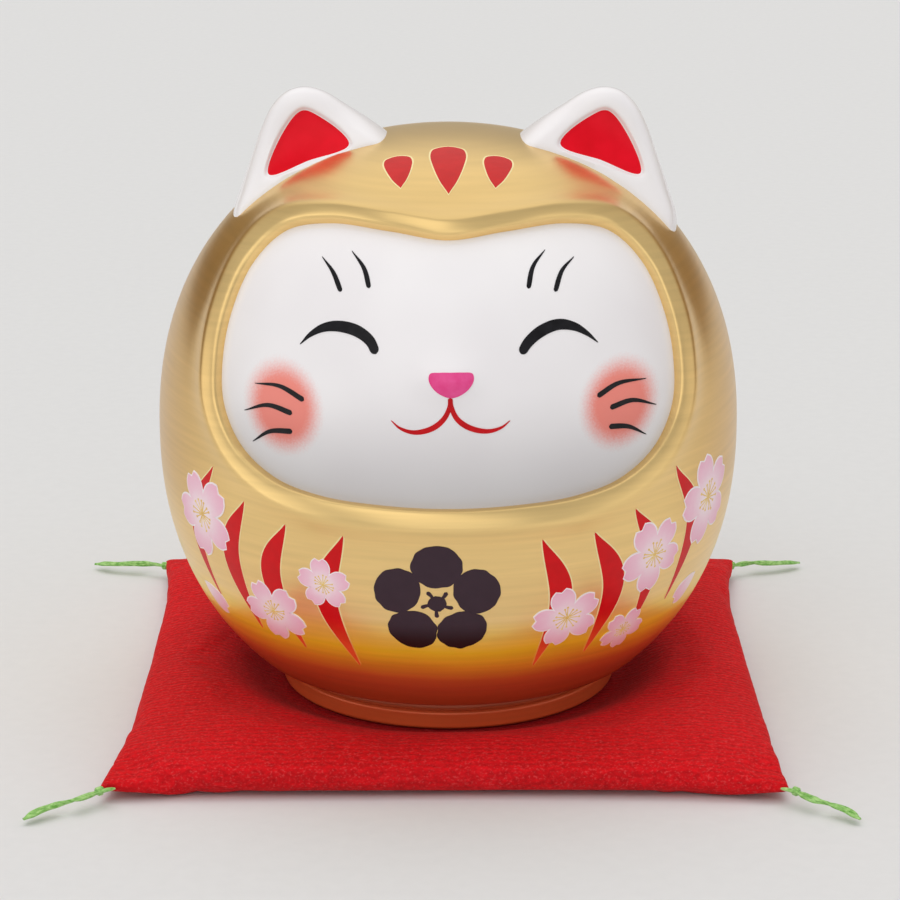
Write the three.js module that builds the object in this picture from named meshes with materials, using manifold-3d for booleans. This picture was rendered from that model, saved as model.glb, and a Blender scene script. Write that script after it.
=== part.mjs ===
// Daruma doll in the shape of a cat, a hollow ceramic casting seated on a square padded cushion
// with a thread tassel at each corner. Millimetres, +Z up. The origin is the centre of the
// cushion's underside, and the face looks along -Y.
import * as THREE from "three";
import { mergeVertices } from "three/addons/utils/BufferGeometryUtils.js";
import Module from "manifold-3d";

const wasm = await Module();
wasm.setup();

const GAP = 0.3; // clearance between touching pieces

// The round body is a superellipse turned about Z.
const BODY = { centre: 61.5, radius: 64, up: 66, down: 65.3, power: 2.2, wall: 4 };
const FOOT = { underside: 2.8, radius: 37.5, corner: 0.8, top: 8.4 };
const GROOVE = [36.6, 9.6];
// Where the round body ends, and the points by which it turns in from there to the groove.
const SHOULDER = 11.4;
const TUCK = [
  [38, 10.5],
  [42, 10.7],
];
const BASE = { recess: 2.6, rimWidth: 4.5, slant: 1, floor: 4, hole: 12 };
const CAVITY = { rise: 5, corner: 6 }; // how the cavity's floor turns up to its side
const TURN = 48; // facets around the body
const RISE = 20; // facets up the body

// The rolled lip of the hood, around the sunken face. Each pair of its section is a distance out
// from the opening's outline and a height above the body's surface.
const LIP = [
  [7.2, -5],
  [7.2, -0.4],
  [5.4, 0.9],
  [3.8, 1.5],
  [2.4, 1.3],
  [1, 0.3],
  [-1, -2],
  [-1, -5],
];
const LIP_SEAT = 2; // how far outside the opening the plain body gives way to the lip
const OUTLINE_STEPS = 56;
const OPENING = { from: -74, to: -15 }; // Y range of the block that cuts the opening
const FACE = { sunk: 2.2, thickness: 4, clearance: 0.4 };
const NOSE = { side: 0.4, height: 87, halfWidth: 8, halfDepth: 5, halfHeight: 6, sink: 2.8 };

// The ears stand across the body. They are thickest at the root and thinner at the tip.
const EAR = { middle: 0.5, halfDepth: 6, bevel: 2.6, dish: 1.1 };
const EAR_TAPER = { root: 106, tip: 137, thin: 0.55 };
const EAR_OUT = { left: 0, right: 2.8 }; // the right ear stands a little further out

const STOPPER = { flange: 15.5, flangeThickness: 1.5, stem: 7, wall: 1.8, edge: 0.5, lead: 0.8 };

// Half the cushion's side at its corners, and what its two covers and filling are like.
const CUSHION = { half: 70, pull: 0.02, seam: 3, rim: 0.5, crown: 6, power: 6, swell: 1.6 };
const COVER = { cloth: 0.5, slack: 0.35 };
const SEAT = { level: FOOT.underside - GAP, inner: 38.8, outer: 54 };
const RINGS = [0, 18, 31, SEAT.inner, 43, 48, 56, 64.5, CUSHION.half];

// A tassel's radii from the cushion's corner out, and where along it they are.
const TASSEL = { height: 3, start: 0.8, neck: 0.7, knot: 1.4, tail: 0.95, tip: 0.4, taper: 5 };
const KNOT = { from: 2.4, to: 3.6, clear: 5, full: 9 };
const TASSEL_TIPS = {
  front_left: [-85.5, -80.5, 1.3],
  front_right: [83, -80.5, 1.3],
  back_left: [-90, 77, 1.3],
  back_right: [89.5, 78, 1.3],
};

const COLOURS = {
  gold: 0xc9a456,
  white: 0xf2eeee,
  red: 0xc4141c,
  wadding: 0xe9e4d8,
  green: 0x7cc765,
  stopper: 0xd9d6ce,
};

function finish(colour, roughness, metalness = 0) {
  return new THREE.MeshStandardMaterial({ color: colour, roughness, metalness });
}

const MATERIALS = {
  gold: finish(COLOURS.gold, 0.35, 0.8),
  white: finish(COLOURS.white, 0.12),
  red: finish(COLOURS.red, 0.9),
  wadding: finish(COLOURS.wadding, 1),
  green: finish(COLOURS.green, 0.85),
  stopper: finish(COLOURS.stopper, 0.6),
};

// ---------- solids ----------

// A closed geometry as a manifold solid. Triangles that collapse when corners merge are dropped.
function solid(geometry) {
  const bare = geometry.clone();
  bare.deleteAttribute("normal");
  bare.deleteAttribute("uv");
  const merged = mergeVertices(bare, 1e-4);
  const kept = [];
  for (let i = 0; i < merged.index.count; i += 3) {
    const [a, b, c] = [0, 1, 2].map((k) => merged.index.getX(i + k));
    if (a !== b && b !== c && c !== a) kept.push(a, b, c);
  }
  return new wasm.Manifold(
    new wasm.Mesh({
      numProp: 3,
      vertProperties: merged.attributes.position.array,
      triVerts: new Uint32Array(kept),
    }),
  );
}

// A manifold solid as a geometry.
function geometryOf(made) {
  const mesh = made.getMesh();
  const geometry = new THREE.BufferGeometry();
  geometry.setAttribute("position", new THREE.BufferAttribute(mesh.vertProperties, 3));
  geometry.setIndex(new THREE.BufferAttribute(mesh.triVerts, 1));
  geometry.computeVertexNormals();
  return geometry;
}

// A profile of [radius, height] pairs turned about Z, listed from its lower end to its upper end.
function turned(profile, segments) {
  const points = profile.map(([r, z]) => new THREE.Vector2(r, z));
  return new THREE.LatheGeometry(points, segments).rotateX(Math.PI / 2);
}

// An outline in X and Z, given anticlockwise as seen from the front, extruded along Y.
function extrudedAlongY(points, from, to, bevel = 0) {
  const shape = new THREE.Shape(points);
  const geometry = new THREE.ExtrudeGeometry(shape, {
    depth: to - from - 2 * bevel,
    steps: 1,
    bevelEnabled: bevel > 0,
    bevelThickness: bevel,
    bevelSize: bevel,
    bevelOffset: -bevel,
    bevelSegments: 4,
  });
  return geometry.rotateX(Math.PI / 2).translate(0, to - bevel, 0);
}

// ---------- the round body ----------

// Radius of the body at height z, with its surface moved in by inset.
function bodyRadius(z, inset = 0) {
  const half = (z > BODY.centre ? BODY.up : BODY.down) - inset;
  const share = Math.min(1, Math.abs(z - BODY.centre) / half);
  return (BODY.radius - inset) * (1 - share ** BODY.power) ** (1 / BODY.power);
}

// Y of the body's front surface at x and z.
function frontOfBody(x, z, inset = 0) {
  return -Math.sqrt(Math.max(0, bodyRadius(z, inset) ** 2 - x * x));
}

// Points of the body's profile from the height low up to the top, on the axis.
function bodyProfile(low, inset, count) {
  const share = Math.min(1, (BODY.centre - low) / (BODY.down - inset));
  const start = -Math.asin(share ** (BODY.power / 2));
  const points = [];
  for (let i = 0; i <= count; i++) {
    const t = start + ((Math.PI / 2 - start) * i) / count;
    const sine = Math.sin(t);
    const half = (sine > 0 ? BODY.up : BODY.down) - inset;
    const z = BODY.centre + Math.sign(sine) * half * Math.abs(sine) ** (2 / BODY.power);
    points.push([i === count ? 0 : bodyRadius(z, inset), z]);
  }
  return points;
}

// The whole body with no cavity, its surface moved out by grow: what ears are trimmed to.
function bodyBlank(grow) {
  const profile = bodyProfile(SHOULDER, -grow, RISE);
  return solid(turned([[0, SHOULDER], ...profile], TURN));
}

function hollowBody() {
  const inner = FOOT.radius - BASE.rimWidth;
  const recess = FOOT.underside + BASE.recess;
  const floor = recess + BASE.floor;
  const foot = [
    [BASE.hole, recess],
    [inner - BASE.slant, recess],
    [inner, FOOT.underside],
    [FOOT.radius - FOOT.corner, FOOT.underside],
    [FOOT.radius, FOOT.underside + FOOT.corner],
    [FOOT.radius, FOOT.top],
    GROOVE,
    ...TUCK,
  ];
  const cavityFoot = floor + CAVITY.rise;
  const cavity = bodyProfile(cavityFoot, BODY.wall, RISE / 2);
  const profile = [
    ...foot,
    ...bodyProfile(SHOULDER, 0, RISE),
    ...cavity.reverse(),
    [bodyRadius(cavityFoot, BODY.wall) - CAVITY.corner, floor],
    [BASE.hole, floor],
    [BASE.hole, recess],
  ];
  return solid(turned(profile, TURN));
}

// ---------- the face ----------

// The right half of the face's outline in X and Z, from the dip under the brow to the chin.
const FACE_HALF = [
  [0, 111.4],
  [12, 112.5],
  [24, 112.7],
  [33, 109.8],
  [40, 103.2],
  [44.6, 95],
  [47, 86],
  [47.3, 77],
  [44.6, 69],
  [38, 63.6],
  [28, 61.8],
  [14, 60.8],
  [0, 60.4],
];

// The outline all round as a closed curve in X and Z, anticlockwise as seen from the front.
const faceCurve = new THREE.CatmullRomCurve3(
  [...FACE_HALF.slice(0, -1).map(([x, z]) => [-x, z]), ...FACE_HALF.slice(1).reverse()].map(
    ([x, z]) => new THREE.Vector3(x, z, 0),
  ),
  true,
);

// Points of the face's outline, moved out by grow.
function faceOutline(grow) {
  return Array.from({ length: OUTLINE_STEPS }, (_, i) => {
    const at = faceCurve.getPointAt(i / OUTLINE_STEPS);
    const along = faceCurve.getTangentAt(i / OUTLINE_STEPS);
    return new THREE.Vector2(at.x + along.y * grow, at.y - along.x * grow);
  });
}

function facePrism(grow) {
  return solid(extrudedAlongY(faceOutline(grow), OPENING.from, OPENING.to));
}

// The lip: a ring that carries its section round the outline, on the body's surface.
function lipRing() {
  const ring = new THREE.TorusGeometry(2, 1, LIP.length, OUTLINE_STEPS);
  const position = ring.attributes.position;
  const rows = LIP.map(([out]) => faceOutline(out));
  for (let i = 0; i < position.count; i++) {
    const row = Math.floor(i / (OUTLINE_STEPS + 1)) % LIP.length;
    const place = rows[row][(i % (OUTLINE_STEPS + 1)) % OUTLINE_STEPS];
    const front = frontOfBody(place.x, place.y, -LIP[row][1]);
    position.setXYZ(i, place.x, front, place.y);
  }
  return solid(ring);
}

function bodyShell() {
  const low = SHOULDER + BODY.wall;
  const inside = bodyProfile(low, BODY.wall, RISE / 2);
  const cavity = solid(turned([[0, low], ...inside], TURN));
  const lip = lipRing().subtract(cavity);
  return hollowBody().subtract(facePrism(LIP_SEAT)).add(lip).subtract(facePrism(0));
}

function facePanel() {
  const low = BODY.centre / 2;
  const skin = (inset) => {
    const profile = bodyProfile(low, inset, RISE);
    return solid(turned([[0, low], ...profile], 2 * TURN));
  };
  const nose = new THREE.SphereGeometry(1, 16, 12)
    .scale(NOSE.halfWidth, NOSE.halfDepth, NOSE.halfHeight)
    .translate(
      NOSE.side,
      frontOfBody(NOSE.side, NOSE.height, FACE.sunk + NOSE.sink),
      NOSE.height,
    );
  return skin(FACE.sunk)
    .subtract(skin(FACE.sunk + FACE.thickness))
    .intersect(facePrism(-FACE.clearance))
    .add(solid(nose));
}

// ---------- ears ----------

// An ear's outline in X and Z, anticlockwise from inside the body below its outer edge.
const EAR_EDGE = [
  [46.4, 102.5],
  [46.9, 108.4],
  [45, 114.6],
  [42.6, 121.4],
  [40.2, 128],
  [37.7, 132.7],
  [34.6, 135.5],
  [31, 136.4],
  [27, 135.5],
  [21.2, 132],
  [16, 128.6],
  [11.5, 125],
  [7, 120],
];
const EAR_ROOT = [
  [9, 112],
  [30, 98],
];
const EAR_DISH = [
  [38.6, 118.8],
  [35.4, 127.4],
  [31.4, 131.8],
  [27.8, 130.7],
  [21.2, 125.4],
  [29.9, 123],
];

function smooth(points, closed, count) {
  const curve = new THREE.CatmullRomCurve3(
    points.map(([x, z]) => new THREE.Vector3(x, z, 0)),
    closed,
    "centripetal",
  );
  return curve.getPoints(count).map((p) => new THREE.Vector2(p.x, p.y));
}

// Moves a block's corners towards the ear's middle plane, more so near the tip.
function taper(geometry) {
  const position = geometry.attributes.position;
  for (let i = 0; i < position.count; i++) {
    const up = (position.getZ(i) - EAR_TAPER.root) / (EAR_TAPER.tip - EAR_TAPER.root);
    const scale = THREE.MathUtils.lerp(1, EAR_TAPER.thin, THREE.MathUtils.clamp(up, 0, 1));
    position.setY(i, EAR.middle + (position.getY(i) - EAR.middle) * scale);
  }
  return geometry;
}

// One ear. side is 1 for the ear on +X and -1 for the one on -X.
function ear(side, out) {
  const front = EAR.middle - EAR.halfDepth;
  const back = EAR.middle + EAR.halfDepth;
  const edge = smooth(EAR_EDGE, false, 28);
  const root = EAR_ROOT.map(([x, z]) => new THREE.Vector2(x, z));
  const block = solid(taper(extrudedAlongY([...edge, ...root], front, back, EAR.bevel)));
  const dish = smooth(EAR_DISH, true, 20).slice(0, -1);
  const hollow = solid(taper(extrudedAlongY(dish, front - EAR.bevel, front + EAR.dish)));
  const right = block.subtract(hollow).translate([out, 0, 0]);
  const placed = side > 0 ? right : right.mirror([1, 0, 0]);
  return placed.subtract(bodyBlank(GAP));
}

// ---------- the stopper in the base ----------

function stopper() {
  const seat = FOOT.underside + BASE.recess - GAP;
  const flange = seat - STOPPER.flangeThickness;
  const stem = BASE.hole - GAP;
  const top = seat + STOPPER.stem;
  return solid(
    turned(
      [
        [0, flange],
        [STOPPER.flange - STOPPER.edge, flange],
        [STOPPER.flange, flange + STOPPER.edge],
        [STOPPER.flange, seat],
        [stem, seat],
        [stem, top - STOPPER.lead],
        [stem - STOPPER.lead, top],
        [stem - STOPPER.wall, top],
        [stem - STOPPER.wall, seat],
        [0, seat],
      ],
      TURN,
    ),
  );
}

// ---------- the cushion ----------

// A slab of cloth or filling over the cushion's plan, between two heights. It starts as a box
// whose corners are moved: rings near the middle are round, and rings near the edge are square.
function slab(under, over, rings) {
  const count = rings.length - 1;
  const box = new THREE.BoxGeometry(2, 2, 2, 2 * count, 2 * count, 1);
  const position = box.attributes.position;
  for (let i = 0; i < position.count; i++) {
    const spot = new THREE.Vector2(position.getX(i), position.getY(i));
    const ring = Math.round(Math.max(Math.abs(spot.x), Math.abs(spot.y)) * count);
    const reach = rings[ring];
    const square = spot.multiplyScalar(ring ? (reach * count) / ring : 0);
    const turn = THREE.MathUtils.smoothstep(reach, SEAT.outer, CUSHION.half);
    const plan = roundOff(square, reach).lerp(square, turn);
    const share = plan.clone().divideScalar(CUSHION.half);
    plan.x *= 1 - CUSHION.pull * (1 - share.y ** 2) * turn;
    plan.y *= 1 - CUSHION.pull * (1 - share.x ** 2) * turn;
    const height = position.getZ(i) > 0 ? over : under;
    position.setXYZ(i, plan.x, plan.y, height(share.x, share.y, Math.hypot(plan.x, plan.y)));
  }
  return solid(box);
}

// A point of a square of half side reach, moved to the circle of that radius.
function roundOff(square, reach) {
  if (!reach) return square.clone();
  const steep = Math.abs(square.y) > Math.abs(square.x);
  const [near, far] = steep ? [square.x, square.y] : [square.y, square.x];
  const turn = (Math.PI / 4) * (near / far);
  const [long, short] = [Math.cos(turn) * Math.sign(far), Math.sin(turn) * Math.sign(far)];
  return new THREE.Vector2(steep ? short : long, steep ? long : short).multiplyScalar(reach);
}

// How full the cushion is at a place in its plan: 1 in the middle and 0 along its edge.
function fullness(x, y) {
  const along = (share) => Math.sqrt(Math.max(0, 1 - Math.abs(share) ** CUSHION.power));
  return along(x) * along(y);
}

function topOfCushion(x, y, radius) {
  const crown = CUSHION.seam + CUSHION.rim + CUSHION.crown * fullness(x, y);
  return THREE.MathUtils.lerp(
    SEAT.level,
    crown,
    THREE.MathUtils.smoothstep(radius, SEAT.inner, SEAT.outer),
  );
}

function undersideOfCushion(x, y) {
  const rise = CUSHION.seam - CUSHION.rim;
  return rise * Math.max(0, 1 - CUSHION.swell * fullness(x, y));
}

// The inner faces of the two covers, which are a gap apart along the seam.
function insideOfBottom(x, y) {
  return Math.min(CUSHION.seam - GAP / 2, undersideOfCushion(x, y) + COVER.cloth);
}

function insideOfTop(x, y, radius) {
  return Math.max(insideOfBottom(x, y) + GAP, topOfCushion(x, y, radius) - COVER.cloth);
}

function wadding() {
  const under = (x, y) => insideOfBottom(x, y) + COVER.slack;
  const over = (x, y, radius) => insideOfTop(x, y, radius) - COVER.slack;
  return slab(under, over, RINGS.slice(0, -1));
}

// A bundle of threads knotted at a corner of the cushion, from the corner out to its tip.
function tassel(tip) {
  const end = new THREE.Vector3(...tip);
  const corner = new THREE.Vector3(
    Math.sign(end.x) * CUSHION.half,
    Math.sign(end.y) * CUSHION.half,
    TASSEL.height,
  );
  const along = end.clone().sub(corner);
  const length = along.length();
  along.normalize();
  const profile = [
    [0, TASSEL.start],
    [TASSEL.neck, TASSEL.start + 0.2],
    [TASSEL.knot, KNOT.from],
    [TASSEL.knot, KNOT.to],
    [TASSEL.neck, KNOT.clear],
    [TASSEL.tail, KNOT.full],
    [TASSEL.tail, length - TASSEL.taper],
    [TASSEL.tip, length],
    [0, length],
  ];
  const bundle = turned(profile, 10);
  const turn = new THREE.Quaternion().setFromUnitVectors(new THREE.Vector3(0, 0, 1), along);
  return solid(bundle.applyQuaternion(turn).translate(corner.x, corner.y, corner.z));
}

// ---------- the assembly ----------

function piece(name, made, material) {
  const mesh = new THREE.Mesh(geometryOf(made), material);
  mesh.name = name;
  return mesh;
}

const cushion = new THREE.Group();
cushion.add(
  piece("cushion_cover_bottom", slab(undersideOfCushion, insideOfBottom, RINGS), MATERIALS.red),
  piece("cushion_cover_top", slab(insideOfTop, topOfCushion, RINGS), MATERIALS.red),
  piece("cushion_wadding", wadding(), MATERIALS.wadding),
);
for (const [corner, tip] of Object.entries(TASSEL_TIPS)) {
  cushion.add(piece("tassel_" + corner, tassel(tip), MATERIALS.green));
}

const doll = new THREE.Group();
doll.add(
  piece("body_shell", bodyShell(), MATERIALS.gold),
  piece("face_panel", facePanel(), MATERIALS.white),
  piece("ear_left", ear(-1, EAR_OUT.left), MATERIALS.white),
  piece("ear_right", ear(1, EAR_OUT.right), MATERIALS.white),
  piece("base_stopper", stopper(), MATERIALS.stopper),
);

const root = new THREE.Group();
root.add(cushion, doll);

export default root;
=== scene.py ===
"""The looks of a ceramic daruma doll in the shape of a cat, on its square padded cushion.

Lengths are in millimetres, and MM turns them into Blender's metres. The frame is the CAD's:
+Z up, the origin at the centre of the cushion's underside, the face looking along -Y.
"""

import math

import bmesh
import bpy
import numpy as np
from mathutils.bvhtree import BVHTree
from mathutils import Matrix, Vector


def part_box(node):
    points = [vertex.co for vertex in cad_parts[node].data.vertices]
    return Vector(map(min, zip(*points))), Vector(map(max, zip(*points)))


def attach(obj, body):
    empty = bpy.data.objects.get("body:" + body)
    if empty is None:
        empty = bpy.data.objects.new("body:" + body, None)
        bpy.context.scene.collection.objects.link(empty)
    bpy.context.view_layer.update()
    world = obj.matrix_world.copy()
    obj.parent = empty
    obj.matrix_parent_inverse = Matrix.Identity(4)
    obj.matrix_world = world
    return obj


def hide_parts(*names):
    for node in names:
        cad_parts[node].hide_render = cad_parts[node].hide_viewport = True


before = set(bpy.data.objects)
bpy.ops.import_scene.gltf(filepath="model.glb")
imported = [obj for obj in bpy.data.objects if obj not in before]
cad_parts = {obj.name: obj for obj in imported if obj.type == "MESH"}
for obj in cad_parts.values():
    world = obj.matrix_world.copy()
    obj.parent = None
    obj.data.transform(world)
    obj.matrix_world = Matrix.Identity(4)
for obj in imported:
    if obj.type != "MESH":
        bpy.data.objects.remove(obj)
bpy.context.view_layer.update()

MM = 0.001
SEED = 7
rng = np.random.default_rng(SEED)


def corners(node):
    """Lowest and highest corner of a CAD node, in millimetres."""
    return [np.array(corner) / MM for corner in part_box(node)]


# ---------- camera ----------

VIEW = {"target": (0.4, 0.0, 54.8), "distance": 636.2, "elevation": 16.69, "lens": 113.8}


def add_camera():
    data = bpy.data.cameras.new("camera")
    data.lens = VIEW["lens"]
    data.clip_end = 20
    made = bpy.data.objects.new("camera", data)
    tilt = math.radians(VIEW["elevation"])
    away = np.array([0, -math.cos(tilt), math.sin(tilt)]) * VIEW["distance"]
    made.location = (np.array(VIEW["target"]) + away) * MM
    made.rotation_euler = (math.pi / 2 - tilt, 0, 0)
    bpy.context.scene.collection.objects.link(made)
    bpy.context.scene.camera = made


# ---------- curves and meshes ----------


def unit(vectors):
    return vectors / np.linalg.norm(vectors, axis=-1, keepdims=True)


def through(points, count, closed=False):
    """Points at equal steps along a centripetal Catmull-Rom curve through the given points."""
    p = np.asarray(points, float)
    if closed:
        p = np.vstack([p[-1:], p, p[:2]])
    else:
        p = np.vstack([2 * p[:1] - p[1:2], p, 2 * p[-1:] - p[-2:-1]])
    t = np.linspace(0, 1, 24, endpoint=False)[:, None]
    fine = []
    for a, b, c, d in zip(p, p[1:], p[2:], p[3:]):
        ab, bc, cd = (math.sqrt(np.linalg.norm(q)) for q in (b - a, c - b, d - c))
        start = ((b - a) / ab - (c - a) / (ab + bc) + (c - b) / bc) * bc
        end = ((c - b) / bc - (d - b) / (bc + cd) + (d - c) / cd) * bc
        fine.append(
            (2 * t**3 - 3 * t**2 + 1) * b
            + (t**3 - 2 * t**2 + t) * start
            + (3 * t**2 - 2 * t**3) * c
            + (t**3 - t**2) * end
        )
    fine = np.vstack([*fine, p[-2:-1]])
    return resample(fine, count, closed)


def resample(points, count, closed=False):
    """Points at equal steps along a line of points. A closed one comes with its start repeated."""
    points = np.asarray(points, float)
    along = np.append(0, np.cumsum(np.linalg.norm(np.diff(points, axis=0), axis=1)))
    wanted = np.linspace(0, along[-1], count, endpoint=not closed)
    return np.column_stack([np.interp(wanted, along, axis) for axis in points.T])


def smoothstep(value, low, high):
    t = np.clip((value - low) / (high - low), 0, 1)
    return t * t * (3 - 2 * t)


def make_piece(name, points, faces, materials, zones=None):
    """A mesh object from points in millimetres. zones holds the material index of each face."""
    mesh = bpy.data.meshes.new(name)
    mesh.from_pydata((np.asarray(points) * MM).tolist(), [], [tuple(f) for f in faces])
    for material in materials:
        mesh.materials.append(material)
    if zones is not None:
        mesh.polygons.foreach_set("material_index", np.asarray(zones, np.int32))
    turn_faces_out(mesh)
    mesh.shade_smooth()
    made = bpy.data.objects.new(name, mesh)
    bpy.context.scene.collection.objects.link(made)
    return made


def turn_faces_out(mesh):
    edit = bmesh.new()
    edit.from_mesh(mesh)
    bmesh.ops.recalc_face_normals(edit, faces=edit.faces)
    edit.to_mesh(mesh)
    edit.free()
    mesh.update()


def ring_faces(rings, around, start=0):
    """Quads between rings of points that lie one after another, each closed on itself."""
    faces = []
    for ring in range(rings - 1):
        low = start + ring * around
        for i in range(around):
            j = (i + 1) % around
            faces.append((low + i, low + j, low + around + j, low + around + i))
    return faces


def grid_faces(rows, columns):
    """Quads between points that lie in rows, one row after another."""
    starts = [row * columns + column for row in range(rows - 1) for column in range(columns - 1)]
    return [(a, a + 1, a + columns + 1, a + columns) for a in starts]


def fan_faces(pole, ring_start, around):
    return [(pole, ring_start + i, ring_start + (i + 1) % around) for i in range(around)]


def rings_piece(name, rings, first_pole, last_pole, materials, zone_of_ring=None):
    """A closed piece from rings of points, with a point at either end."""
    count, around = len(rings), len(rings[0])
    points = np.vstack([*rings, [first_pole], [last_pole]])
    faces = ring_faces(count, around)
    faces += fan_faces(count * around, 0, around)
    faces += fan_faces(count * around + 1, (count - 1) * around, around)
    zones = None
    if zone_of_ring is not None:
        zones = [z for z in zone_of_ring[:-1] for _ in range(around)]
        zones += [zone_of_ring[0]] * around + [zone_of_ring[-1]] * around
    return make_piece(name, points, faces, materials, zones)


def turned_rings(profile, steps):
    """Rings of a profile of (radius, height) pairs turned about Z."""
    turn = np.linspace(0, 2 * math.pi, steps, endpoint=False)
    wheel = np.column_stack([np.sin(turn), -np.cos(turn), np.zeros(steps)])
    return [wheel * r + (0, 0, z) for r, z in profile]


def apply_modifiers(piece):
    depsgraph = bpy.context.evaluated_depsgraph_get()
    done = bpy.data.meshes.new_from_object(piece.evaluated_get(depsgraph))
    before = piece.data
    piece.modifiers.clear()
    piece.data = done
    bpy.data.meshes.remove(before)


def boolean(piece, tool, operation):
    """Cuts or joins piece with a closed tool, which is then removed."""
    modifier = piece.modifiers.new("boolean", "BOOLEAN")
    modifier.operation = operation
    modifier.solver = "MANIFOLD"
    modifier.object = tool
    apply_modifiers(piece)
    bpy.data.objects.remove(tool)


def crease(piece, degrees):
    piece.data.shade_smooth()
    piece.data.set_sharp_from_angle(angle=math.radians(degrees))


# ---------- materials ----------


def rgb(red, green, blue):
    """An sRGB colour from 0 to 255, as Blender's linear colour."""
    share = np.array([red, green, blue]) / 255
    linear = np.where(share <= 0.04045, share / 12.92, ((share + 0.055) / 1.055) ** 2.4)
    return (*linear.tolist(), 1.0)


class Shade:
    """A material and the nodes behind its Principled shader. Settings go to the shader's sockets."""

    def __init__(self, name, **settings):
        self.material = bpy.data.materials.new(name)
        self.material.use_nodes = True
        self.nodes = self.material.node_tree.nodes
        self.links = self.material.node_tree.links
        self.shader = self.nodes["Principled BSDF"]
        self.at = self.nodes.new("ShaderNodeTexCoord").outputs["Object"]
        for socket, value in settings.items():
            self.shader.inputs[socket.replace("_", " ")].default_value = value

    def feed(self, socket, value):
        if isinstance(value, bpy.types.NodeSocket):
            self.links.new(value, socket)
        else:
            socket.default_value = value

    def set(self, socket, value):
        self.feed(self.shader.inputs[socket], value)

    def axis(self, number):
        """X, Y or Z of the place on the object, by its number from 0."""
        node = self.nodes.new("ShaderNodeSeparateXYZ")
        self.feed(node.inputs[0], self.at)
        return node.outputs[number]

    def math(self, operation, a, b=0.0):
        node = self.nodes.new("ShaderNodeMath")
        node.operation = operation
        self.feed(node.inputs[0], a)
        self.feed(node.inputs[1], b)
        return node.outputs[0]

    def vector(self, operation, a, b=(0, 0, 0)):
        node = self.nodes.new("ShaderNodeVectorMath")
        node.operation = operation
        self.feed(node.inputs[0], a)
        self.feed(node.inputs[1], b)
        return node.outputs["Value" if operation == "LENGTH" else "Vector"]

    def noise(self, scale, detail=2.0):
        """Noise over the object. scale is in cycles a metre: one number, or one for each axis."""
        node = self.nodes.new("ShaderNodeTexNoise")
        if isinstance(scale, tuple):
            self.feed(node.inputs["Vector"], self.vector("MULTIPLY", self.at, scale))
            scale = 1.0
        else:
            self.feed(node.inputs["Vector"], self.at)
        node.inputs["Scale"].default_value = scale
        node.inputs["Detail"].default_value = detail
        return node.outputs["Fac"]

    def attribute(self, name):
        node = self.nodes.new("ShaderNodeAttribute")
        node.attribute_name = name
        return node.outputs["Fac"]

    def remap(self, value, low, high, to_low=0.0, to_high=1.0, smooth=False):
        node = self.nodes.new("ShaderNodeMapRange")
        node.interpolation_type = "SMOOTHSTEP" if smooth else "LINEAR"
        for socket, given in zip(node.inputs, (value, low, high, to_low, to_high)):
            self.feed(socket, given)
        return node.outputs[0]

    def fade(self, value, start, end, full=1.0):
        """A share that goes softly from 0 at start to full at end, both in millimetres."""
        return self.remap(value, start * MM, end * MM, 0.0, full, smooth=True)

    def ramp(self, value, stops):
        """stops are pairs of a value and a colour, in any even unit. value is in that unit."""
        low, high = stops[0][0], stops[-1][0]
        node = self.nodes.new("ShaderNodeValToRGB")
        elements = node.color_ramp.elements
        while len(elements) < len(stops):
            elements.new(1.0)
        for element, (at, colour) in zip(elements, stops):
            element.position = (at - low) / (high - low)
            element.color = colour
        self.feed(node.inputs[0], self.remap(value, low, high))
        return node.outputs[0]

    def mottle(self, dark, light, scale, detail, low=0.3):
        """Two colours in patches of noise."""
        return self.ramp(self.noise(scale, detail), [(low, dark), (1 - low, light)])

    def mix(self, share, a, b, blend="MIX"):
        node = self.nodes.new("ShaderNodeMix")
        node.data_type = "RGBA"
        node.blend_type = blend
        self.feed(node.inputs[0], share)
        self.feed(node.inputs[6], a)
        self.feed(node.inputs[7], b)
        return node.outputs[2]

    def shaded(self, colour, shade):
        """A colour times a grey."""
        grey = self.nodes.new("ShaderNodeCombineColor")
        for socket in grey.inputs[:3]:
            self.feed(socket, shade)
        return self.mix(1.0, colour, grey.outputs[0], "MULTIPLY")

    def bump(self, height, depth):
        """Bumps the surface by height, which runs from 0 to 1, times depth in millimetres."""
        node = self.nodes.new("ShaderNodeBump")
        node.inputs["Strength"].default_value = 1.0
        node.inputs["Distance"].default_value = depth * MM
        self.feed(node.inputs["Height"], height)
        self.feed(self.shader.inputs["Normal"], node.outputs[0])


# The lacquer's colour by height in millimetres, from the foot up to the plain gold.
LACQUER = [
    (2.8, rgb(255, 122, 66)),
    (8.0, rgb(244, 112, 62)),
    (12.0, rgb(206, 90, 48)),
    (17.0, rgb(202, 84, 48)),
    (20.0, rgb(212, 96, 48)),
    (24.0, rgb(236, 156, 46)),
    (28.0, rgb(252, 214, 48)),
    (32.0, rgb(252, 220, 106)),
    (36.0, rgb(250, 218, 148)),
    (41.0, rgb(247, 212, 144)),
]


# Painted shade on the lacquer: the millimetres over which each patch fades in, and its share.
# painted shade in the groove between the body and the foot ring
GROOVE_SHADE = {"from_below": (6.8, 7.6), "from_above": (12.2, 9.6), "share": 0.5}
# painted contact shadow along the foot's lower edge
CONTACT_SHADOW = {"height": (3.7, 2.9), "share": 0.7}
# painted shade on both flanks of the body
FLANK_SHADE = {"side": (42, 62), "height": (40, 62), "share": 0.4}


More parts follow.
